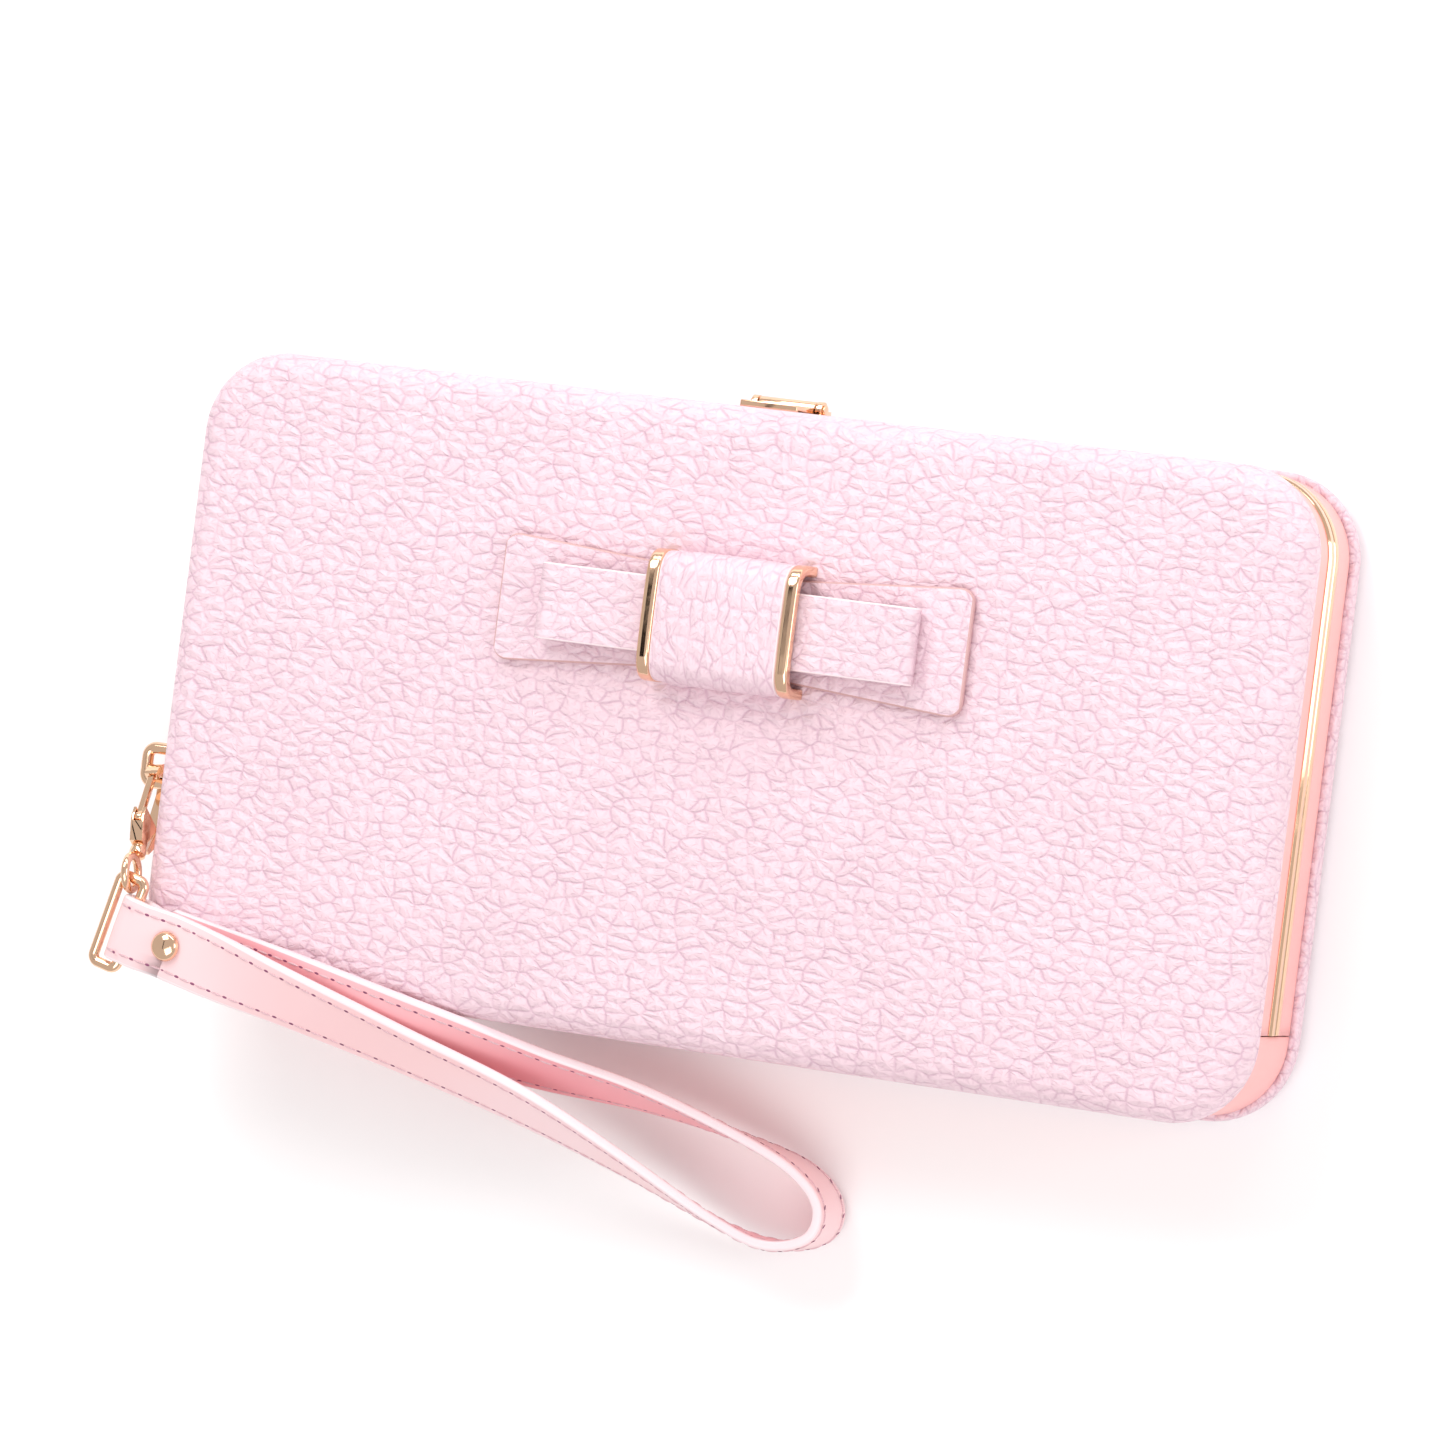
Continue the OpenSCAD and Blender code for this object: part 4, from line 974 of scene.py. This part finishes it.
def buildStitchTree():
    tree, given, out = geometryTree("stitchRow", [
        ("Spacing", "NodeSocketFloat", 0.003), ("Length", "NodeSocketFloat", 0.0021),
        ("Width", "NodeSocketFloat", 0.00032), ("Hole Length", "NodeSocketFloat", 0.0009),
        ("Thread", "NodeSocketMaterial", None), ("Hole", "NodeSocketMaterial", None)])
    curve = addNode(tree, "GeometryNodeMeshToCurve", {"Mesh": given["Geometry"]}).outputs[0]
    curve = addNode(tree, "GeometryNodeResampleCurve", {"Curve": curve, "Length": given["Spacing"]},
                    mode="LENGTH").outputs[0]
    tangent = addNode(tree, "GeometryNodeInputTangent").outputs[0]
    outward = addNode(tree, "GeometryNodeInputNamedAttribute", {"Name": "outward"},
                      data_type="FLOAT_VECTOR").outputs[0]
    aim = addNode(tree, "FunctionNodeAlignRotationToVector", {"Vector": tangent}, axis="X").outputs[0]
    aim = addNode(tree, "FunctionNodeAlignRotationToVector", {"Rotation": aim, "Vector": outward},
                  axis="Z", pivot_axis="X").outputs[0]
    ball = addNode(tree, "GeometryNodeMeshUVSphere", {"Segments": 8, "Rings": 6, "Radius": 0.5}).outputs[0]
    pieces = []
    half = mathNode(tree, "MULTIPLY", given["Spacing"], 0.5)
    low = mathNode(tree, "MULTIPLY", given["Width"], -0.05)
    # each stitch is a thread piece and a dark hole piece; the hole pieces are painted shade inside the needle
    # holes
    for material, sizes, shift in (
            ("Thread", (given["Length"], given["Width"], given["Width"]), 0.0),
            ("Hole", (given["Hole Length"], given["Width"], 0.00014), half)):
        size = addNode(tree, "ShaderNodeCombineXYZ", {0: sizes[0], 1: sizes[1], 2: sizes[2]}).outputs[0]
        move = addNode(tree, "ShaderNodeCombineXYZ", {0: shift, 2: low}).outputs[0]
        shape = addNode(tree, "GeometryNodeTransform", {"Geometry": ball, "Scale": size,
                                                        "Translation": move}).outputs[0]
        placed = addNode(tree, "GeometryNodeInstanceOnPoints", {
            "Points": curve, "Instance": shape, "Rotation": aim}).outputs[0]
        real = addNode(tree, "GeometryNodeRealizeInstances", {0: placed}).outputs[0]
        pieces.append(addNode(tree, "GeometryNodeSetMaterial", {"Geometry": real,
                                                                "Material": given[material]}).outputs[0])
    joined = addNode(tree, "GeometryNodeJoinGeometry")
    for piece in pieces:
        tree.links.new(piece, joined.inputs[0])
    tree.links.new(joined.outputs[0], out["Geometry"])
    return tree


stitchTree = buildStitchTree()


def runTree(obj, tree, **values):
    modifier = obj.modifiers.new(tree.name, "NODES")
    modifier.node_group = tree
    for item in tree.interface.items_tree:
        if item.item_type == "SOCKET" and item.in_out == "INPUT" and item.name in values:
            modifier[item.identifier] = values[item.name]
    return evaluated(obj)


# lines is a list of (points, outward directions)
def stitchRow(name, lines, spacing=0.003, length=0.0021, width=0.00032, thread="thread"):
    verts, edges, outward = [], [], []
    for points, directions in lines:
        start = len(verts)
        verts += [tuple(p) for p in points]
        outward += [tuple(d) for d in directions]
        edges += [(start + i, start + i + 1) for i in range(len(points) - 1)]
    mesh = bpy.data.meshes.new(name)
    mesh.from_pydata(verts, edges, [])
    layer = mesh.attributes.new("outward", "FLOAT_VECTOR", "POINT")
    layer.data.foreach_set("vector", np.array(outward, np.float32).ravel())
    obj = bpy.data.objects.new(name, mesh)
    scene.collection.objects.link(obj)
    return runTree(obj, stitchTree, Spacing=spacing, Length=length, Width=width, Thread=finish[thread],
                   Hole=finish["hole"])


def strapStitches():
    lines = []
    reach = strap["width"] / 2 - strap["stitchInset"]
    visible = slice(14, len(strapCentres) - 8)
    for side in (-1, 1):
        for face in (-1, 1):
            lift = face * (strap["thickness"] / 2 + (0.00005 if face > 0 else 0.0))
            points = (strapCentres + strapAcross * side * reach + strapNormals * lift)[visible]
            lines.append((points, (strapNormals * face)[visible]))
    return settle(stitchRow("strapStitches", lines, length=0.0022, width=0.00042, thread="paleThread"),
                  "strap", slot="smooth_leather")


strapStitches()
print("strap is stitched")


# linings and the folded side gussets

cloth = {
    "inset": 0.0033,        # outside of the lining, in from the case outline
    "thickness": 0.0006,
    "foot": 0.001,          # radius where the floor turns up into the wall
    "pocketCloth": 0.0008,
    "welt": 0.002,
    "hem": 0.0044,
    "hemProud": 0.00012,
    "hemWrap": 0.00002,     # the binding stands this far round the panel
    "panelShort": 0.0003,   # the panel stops inside its binding
    "seam": 0.0012,         # stitches in from an edge
    "hemSeam": 0.0008,
}


def liningTray(name, body, node, front):
    inset, t, foot = cloth["inset"], cloth["thickness"], cloth["foot"]
    ring = ringAt(0, 0)[:, :2]
    top = np.where(ring[:, 1] > wallY - 1e-6, lipLowZ, rimZ)
    floor = liningLow.z + t

    def level(inward, height):
        loop = ringAt(inward, 0.0)
        loop[:, 2] = height
        return loop

    loops = faceLoops(inset + t + foot, floor, 24)
    loops += [level(inset + t + foot * (1 - math.sin(a)), floor + foot * (1 - math.cos(a)))
              for a in np.radians((22.5, 45, 67.5, 90))]
    loops += [level(inset + t, floor + foot + (top - floor - foot) * s) for s in (0.35, 0.7, 1.0)]
    loops += [level(inset, top), level(inset, liningLow.z + foot), level(inset, liningLow.z)]
    loops += faceLoops(inset + foot, liningLow.z, 4)[::-1]
    verts = np.vstack(loops)
    # the wall ends square at the hinge
    for side in (-1, 1):
        column = [i for i in range(len(ring)) if ring[i][0] * side > halfX - 1e-5]
        upper = min((i for i in column if ring[i][1] > wallY), key=lambda i: ring[i][1])
        lower = max((i for i in column if ring[i][1] < wallY), key=lambda i: ring[i][1])
        for k in range(24, len(loops)):
            verts[k * len(ring) + upper][1] = wallY
            verts[k * len(ring) + lower][1] = wallY - 0.0001
    if front:
        verts[:, 2] = faceZ - verts[:, 2]
    faces = gridFaces(len(loops), len(ring), closeColumns=True)
    obj = makeObject(name, verts, faces, [finish["lining"]], merge=2e-6)
    return settle(obj, body, node, slot="lining_cloth")


def foldedGusset(name, node):
    low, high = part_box(node)
    t, folds = cloth["thickness"], 6
    side = 1 if high.x > 0 else -1
    outer, inner = (high.x, low.x) if side > 0 else (low.x, high.x)
    outer, inner = outer - side * t, inner + side * t
    zig = [np.array((outer if i % 2 == 0 else inner, low.z + t / 2 + (high.z - low.z - t) * i / folds))
           for i in range(folds + 1)]
    path = [zig[0]]
    for before, here, after in zip(zig, zig[1:], zig[2:]):
        for s in (0, 0.25, 0.5, 0.75, 1):
            a, b = here + (before - here) * 0.08, here + (after - here) * 0.08
            path.append((1 - s) ** 2 * a + 2 * s * (1 - s) * here + s * s * b)
    path.append(zig[-1])
    path = evenly(path, 0.0008)
    centres = np.array([(x, (low.y + high.y) / 2, z) for x, z in path])
    tangents = tangentsAlong(centres)
    across = np.array([(0, 1.0, 0)] * len(centres))
    width = high.y - low.y
    ribbon = ribbonMesh(centres, across, np.cross(across, tangents), width, t, 0.00025, faceSteps=24)
    obj = addRibbon(name, ribbon, ("lining", "lining", "lining"))
    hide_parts(node)
    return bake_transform(obj)


liningTray("rearLining", "rear_half", "rear_lining", False)
liningTray("frontLining", "front_half", "front_lining", True)
spineSkin("spineLining", "spine_lining", cloth["inset"], cloth["thickness"],
          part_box("spine_lining")[1].y, "lining")
foldedGusset("gussetLeft", "gusset_left")
foldedGusset("gussetRight", "gusset_right")
print("case is lined")


# pockets

# a flat strip of cloth between two corners; its length runs along x or y
def clothStrip(low, high, along="x", roundBy=0.0003, steps=12, faceSteps=6):
    low, high = np.array(low, float), np.array(high, float)
    middle, size = (low + high) / 2, high - low
    t = np.linspace(0, 1, steps + 1)
    k, w = (0, 1) if along == "x" else (1, 0)
    centres = np.tile(middle, (len(t), 1))
    centres[:, k] = low[k] + size[k] * t
    across, normals = np.zeros((len(t), 3)), np.zeros((len(t), 3))
    across[:, w], normals[:, 2] = 1, 1
    return ribbonMesh(centres, across, normals, size[w], size[2], min(roundBy, size[2] / 2.2, size[w] / 2.2),
                      faceSteps=faceSteps)[:2]


def openPocket(name, body, nodes, low, high, panelThick, material, facing):
    # facing is 1 when the panel is on top of its side walls and -1 when it hangs below them
    welt, hem = cloth["welt"], cloth["hem"]
    panelLow, panelHigh = (high[2] - panelThick, high[2]) if facing > 0 else (low[2], low[2] + panelThick)
    wallLow, wallHigh = (low[2], panelLow) if facing > 0 else (panelHigh, high[2])
    wrap, short, seam = cloth["hemWrap"], cloth["panelShort"], cloth["seam"]
    parts = [clothStrip((low[0], low[1], panelLow), (high[0], high[1] - short, panelHigh), steps=30,
                        faceSteps=16)]
    for x in (low[0], high[0] - welt):
        parts.append(clothStrip((x, low[1] + welt, wallLow), (x + welt, high[1] - short, wallHigh), "y"))
    parts.append(clothStrip((low[0], low[1], wallLow), (high[0], low[1] + welt, wallHigh)))
    obj = makeObject(name, *joinMeshes(parts), [finish[material]])
    settle(obj, body, *nodes, slot="lining_cloth")
    proud = cloth["hemProud"]
    hemLow = panelLow - (proud if facing < 0 else wrap)
    hemHigh = panelHigh + (proud if facing > 0 else wrap)
    strip = clothStrip((low[0] - wrap, high[1] - hem, hemLow), (high[0] + wrap, high[1], hemHigh), steps=30)
    settle(makeObject(name + "Hem", *strip, [finish["binding"]]), body, slot="lining_cloth")
    face = hemHigh if facing > 0 else hemLow
    y = high[1] - hem + cloth["hemSeam"]
    xs = np.linspace(low[0] + seam, high[0] - seam, 40)
    lines = [([(x, y, face) for x in xs], [(0, 0, facing)] * 40)]
    ys = np.linspace(low[1] + seam, high[1] - hem - 0.0005, 24)
    flat = panelHigh if facing > 0 else panelLow
    for x in (low[0] + seam, high[0] - seam):
        lines.append(([(x, y, flat) for y in ys], [(0, 0, facing)] * 24))
    settle(stitchRow(name + "Stitches", lines, width=0.00026), body, slot="lining_cloth")


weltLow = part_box("phone_pocket_welt")[0]
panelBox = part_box("phone_pocket_panel")
openPocket("phonePocket", "rear_half", ("phone_pocket_welt", "phone_pocket_panel"), weltLow, panelBox[1],
           panelBox[1].z - panelBox[0].z, "pocket", 1)
for k in range(1, 5):
    slotLow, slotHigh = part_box(f"card_slot_{k}")
    openPocket(f"cardSlot{k}", "front_half", (f"card_slot_{k}",), slotLow, slotHigh,
               (slotHigh.z - slotLow.z) * 0.46, "pocket", -1)
openPocket("slipPocket", "front_half", ("slip_pocket",), *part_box("slip_pocket"), cloth["pocketCloth"],
           "pocket", -1)
print("pockets are sewn")


# coin pouch and its zip

pouch = {
    "corner": 0.0018,
    "sag": 0.00022,
    "seams": (0.0012, 0.0042),   # two rows of stitches, in from the zip
    "tapeGap": 0.0016,
    "toothPitch": 0.0025,
    "toothShare": 0.4,           # of the pitch
    "toothRowGap": 0.0004,
}


def coinPouch():
    low, high = pocketLow, pocketHigh
    t = cloth["pocketCloth"]
    corners = [(high.y, low.z + t / 2), (low.y + t / 2, low.z + t / 2), (low.y + t / 2, high.z - t / 2),
               (high.y, high.z - t / 2)]
    path = [np.array(corners[0])] + roundedRun(corners, pouch["corner"], 6)[7:21] + [np.array(corners[3])]
    path = evenly(path, 0.0022)
    middle = (low.z + high.z) / 2
    for p in path:                      # the empty pouch sags a little between its seams
        depth = pouch["sag"] * max(0.0, math.sin(math.pi * (p[0] - low.y) / (high.y - low.y)))
        p[1] -= math.copysign(depth * (1 + 0.4 * math.sin(p[0] * 410)), p[1] - middle)
    centres = np.array([((low.x + high.x) / 2, y, z) for y, z in path])
    tangents = tangentsAlong(centres)
    across = np.array([(1.0, 0, 0)] * len(centres))
    parts = [ribbonMesh(centres, across, np.cross(across, tangents), high.x - low.x, t, 0.0003,
                        faceSteps=30, endRound=False)[:2]]
    for x in (low.x, high.x - t):
        parts.append(clothStrip((x, low.y + t, low.z + t), (x + t, high.y, high.z - t), "y"))
    obj = makeObject("coinPouch", *joinMeshes(parts), [finish["pocket"]])
    settle(obj, "pouch", "coin_pouch", slot="lining_cloth")
    lines = []
    for z, facing in ((low.z, -1), (high.z, 1)):
        xs = np.linspace(low.x + 0.0015, high.x - 0.0015, 60)
        for seam in pouch["seams"]:
            lines.append(([(x, high.y - seam, z) for x in xs], [(0, 0, facing)] * 60))
    settle(stitchRow("pouchStitches", lines, width=0.00028), "pouch", slot="lining_cloth")


def zipTapes():
    low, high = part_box("zip_tapes")
    half = pouch["tapeGap"] / 2
    parts = [clothStrip((low.x, low.y, z0), (high.x, high.y, z1), steps=60, faceSteps=2)
             for z0, z1 in ((low.z, midZ - half), (midZ + half, high.z))]
    settle(makeObject("zipTapes", *joinMeshes(parts), [finish["tape"]]), "pouch", "zip_tapes",
           slot="lining_cloth")


def buildTeethTree():
    tree, given, out = geometryTree("zipTeethRows", [
        ("Count", "NodeSocketInt", 62), ("Pitch", "NodeSocketFloat", 0.0025),
        ("Size", "NodeSocketVector", (0.001, 0.0014, 0.0009)), ("Start", "NodeSocketVector", (0, 0, 0)),
        ("Row Gap", "NodeSocketFloat", 0.0004), ("Metal", "NodeSocketMaterial", None)])
    cube = addNode(tree, "GeometryNodeMeshCube", {"Size": given["Size"]}).outputs[0]
    tooth = addNode(tree, "GeometryNodeSubdivisionSurface", {"Mesh": cube, "Level": 2, "Edge Crease": 0.72})
    parts = addNode(tree, "ShaderNodeSeparateXYZ", {0: given["Size"]}).outputs
    reach = mathNode(tree, "ADD", parts[2], given["Row Gap"])
    rows = addNode(tree, "GeometryNodeJoinGeometry")
    for share, lift in ((0.0, 0.5), (0.5, -0.5)):
        shift = mathNode(tree, "MULTIPLY", given["Pitch"], share)
        rise = mathNode(tree, "MULTIPLY", reach, lift)
        move = addNode(tree, "ShaderNodeCombineXYZ", {0: shift, 2: rise}).outputs[0]
        place = addNode(tree, "ShaderNodeVectorMath", {0: given["Start"], 1: move},
                        operation="ADD").outputs[0]
        step = addNode(tree, "ShaderNodeCombineXYZ", {0: given["Pitch"]}).outputs[0]
        line = addNode(tree, "GeometryNodeMeshLine", {"Count": given["Count"], "Start Location": place,
                                                      "Offset": step}).outputs[0]
        tree.links.new(addNode(tree, "GeometryNodeInstanceOnPoints", {
            "Points": line, "Instance": tooth.outputs[0]}).outputs[0], rows.inputs[0])
    real = addNode(tree, "GeometryNodeRealizeInstances", {0: rows.outputs[0]}).outputs[0]
    tree.links.new(addNode(tree, "GeometryNodeSetMaterial", {"Geometry": real, "Material": given["Metal"]})
                   .outputs[0], out["Geometry"])
    return tree


def zipTeeth():
    low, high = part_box("zip_teeth")
    pitch = pouch["toothPitch"]
    size = (pitch * pouch["toothShare"], high.y - low.y, (high.z - low.z - pouch["toothRowGap"]) / 2)
    count = int(round((high.x - low.x - size[0] - pitch / 2) / pitch)) + 1
    mesh = bpy.data.meshes.new("zipTeeth")
    mesh.from_pydata([(0, 0, 0)], [], [])
    obj = bpy.data.objects.new("zipTeeth", mesh)
    scene.collection.objects.link(obj)
    start = (low.x + size[0] / 2, (low.y + high.y) / 2, midZ)
    runTree(obj, buildTeethTree(), Count=count, Pitch=pitch, Size=size, Start=start, Metal=finish["gold"])
    for face in obj.data.polygons:
        face.use_smooth = True
    settle(obj, "pouch", "zip_teeth", slot="rose_gold")


coinPouch()
zipTapes()
zipTeeth()
print("pouch is closed")


# metal: each piece keeps its shape, and those given a rounding width gain rounded edges; the strap rivet is
# turned anew

# each piece's body and how far its edges are rounded
metalEdges = {
    "rear_frame": ("rear_half", 0.00025), "front_frame": ("front_half", 0.00025),
    "hinge_pins": ("rear_half", 0.00012), "latch_bracket": ("rear_half", 0.00014),
    "latch_pin": ("rear_half", 0.00012), "latch_flap": ("latch", 0.00022),
    "strike_plate": ("front_half", 0.0001), "side_ring_plate": ("front_half", 0.0002),
    "side_ring": ("front_half", 0), "side_ring_rivets": ("front_half", 0.00018),
    "bow_rivets": ("front_half", 0.00012), "zip_stops": ("pouch", 0.00014),
    "zip_slider": ("slider", 0.00022), "zip_pull": ("pull", 0.0002), "clasp_hook": ("clasp", 0.00034),
    "gate_pin": ("clasp", 0.00006), "clasp_gate": ("gate", 0.0002), "swivel_eye": ("eye", 0.0001),
    "strap_ring": ("strap", 0),
}


def pieceName(node):
    words = node.split("_")
    return words[0] + "".join(word.capitalize() for word in words[1:]) + "Metal"


def roundedMetal(node, body, width, material="gold", slotName="rose_gold"):
    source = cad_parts[node]
    mesh = source.data.copy()
    mesh.transform(source.matrix_world)
    mesh.materials.clear()
    mesh.materials.append(finish[material])
    if "custom_normal" in mesh.attributes:
        mesh.attributes.remove(mesh.attributes["custom_normal"])
    work = bmesh.new()
    work.from_mesh(mesh)
    bmesh.ops.remove_doubles(work, verts=work.verts, dist=2e-6)
    bmesh.ops.dissolve_limit(work, angle_limit=math.radians(0.5), verts=work.verts, edges=work.edges)
    for face in work.faces:
        face.smooth = True
        face.material_index = 0
    for edge in work.edges:
        if len(edge.link_faces) == 2 and edge.calc_face_angle(0) > math.radians(35):
            edge.smooth = False
    work.to_mesh(mesh)
    work.free()
    obj = bpy.data.objects.new(pieceName(node), mesh)
    scene.collection.objects.link(obj)
    if width:
        for edge in mesh.edges:
            edge.use_edge_sharp = False
        addRounding(obj, width)
    return settle(obj, body, node, slot=slotName)


for node, (body, width) in metalEdges.items():
    roundedMetal(node, body, width)
roundedMetal("gate_spring", "clasp", 0.0001, "steel", "spring_steel")


rivet = {
    "dome": 0.0015,          # height of the head
    "shank": 0.00095,        # radius
    "foot": 0.0003,
    "lip": 0.0003,           # small step under the dome
}


def strapRivet():
    low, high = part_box("strap_rivet")
    x, y = (low.x + high.x) / 2, (low.y + high.y) / 2
    r = (high.x - low.x) / 2
    dome, shank, foot, lip = (rivet[key] for key in ("dome", "shank", "foot", "lip"))
    base = high.z - low.z - dome
    profile = [(0, 0), (r * 0.55, 0), (r * 0.62, foot * 0.4), (r * 0.6, foot), (shank, foot), (shank, base),
               (r - 0.0001, base), (r, base + 0.00012), (r - 0.00006, base + 0.00028)]
    for i in range(1, 15):
        a = math.radians(90 * i / 14)
        profile.append(((r - 0.00012) * math.cos(a), base + lip + (dome - lip) * math.sin(a)))
    obj = makeObject("strapRivetMetal", *latheMesh(profile, (x, y, low.z), (0, 0, 1), 56),
                     [finish["gold"]], merge=1e-6)
    settle(obj, "strap", "strap_rivet", slot="rose_gold")


strapRivet()
print("metal is polished")


# finish

for nodeName in ("front_board", "rear_board"):
    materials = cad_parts[nodeName].data.materials
    materials.clear()
    materials.append(finish["board"])
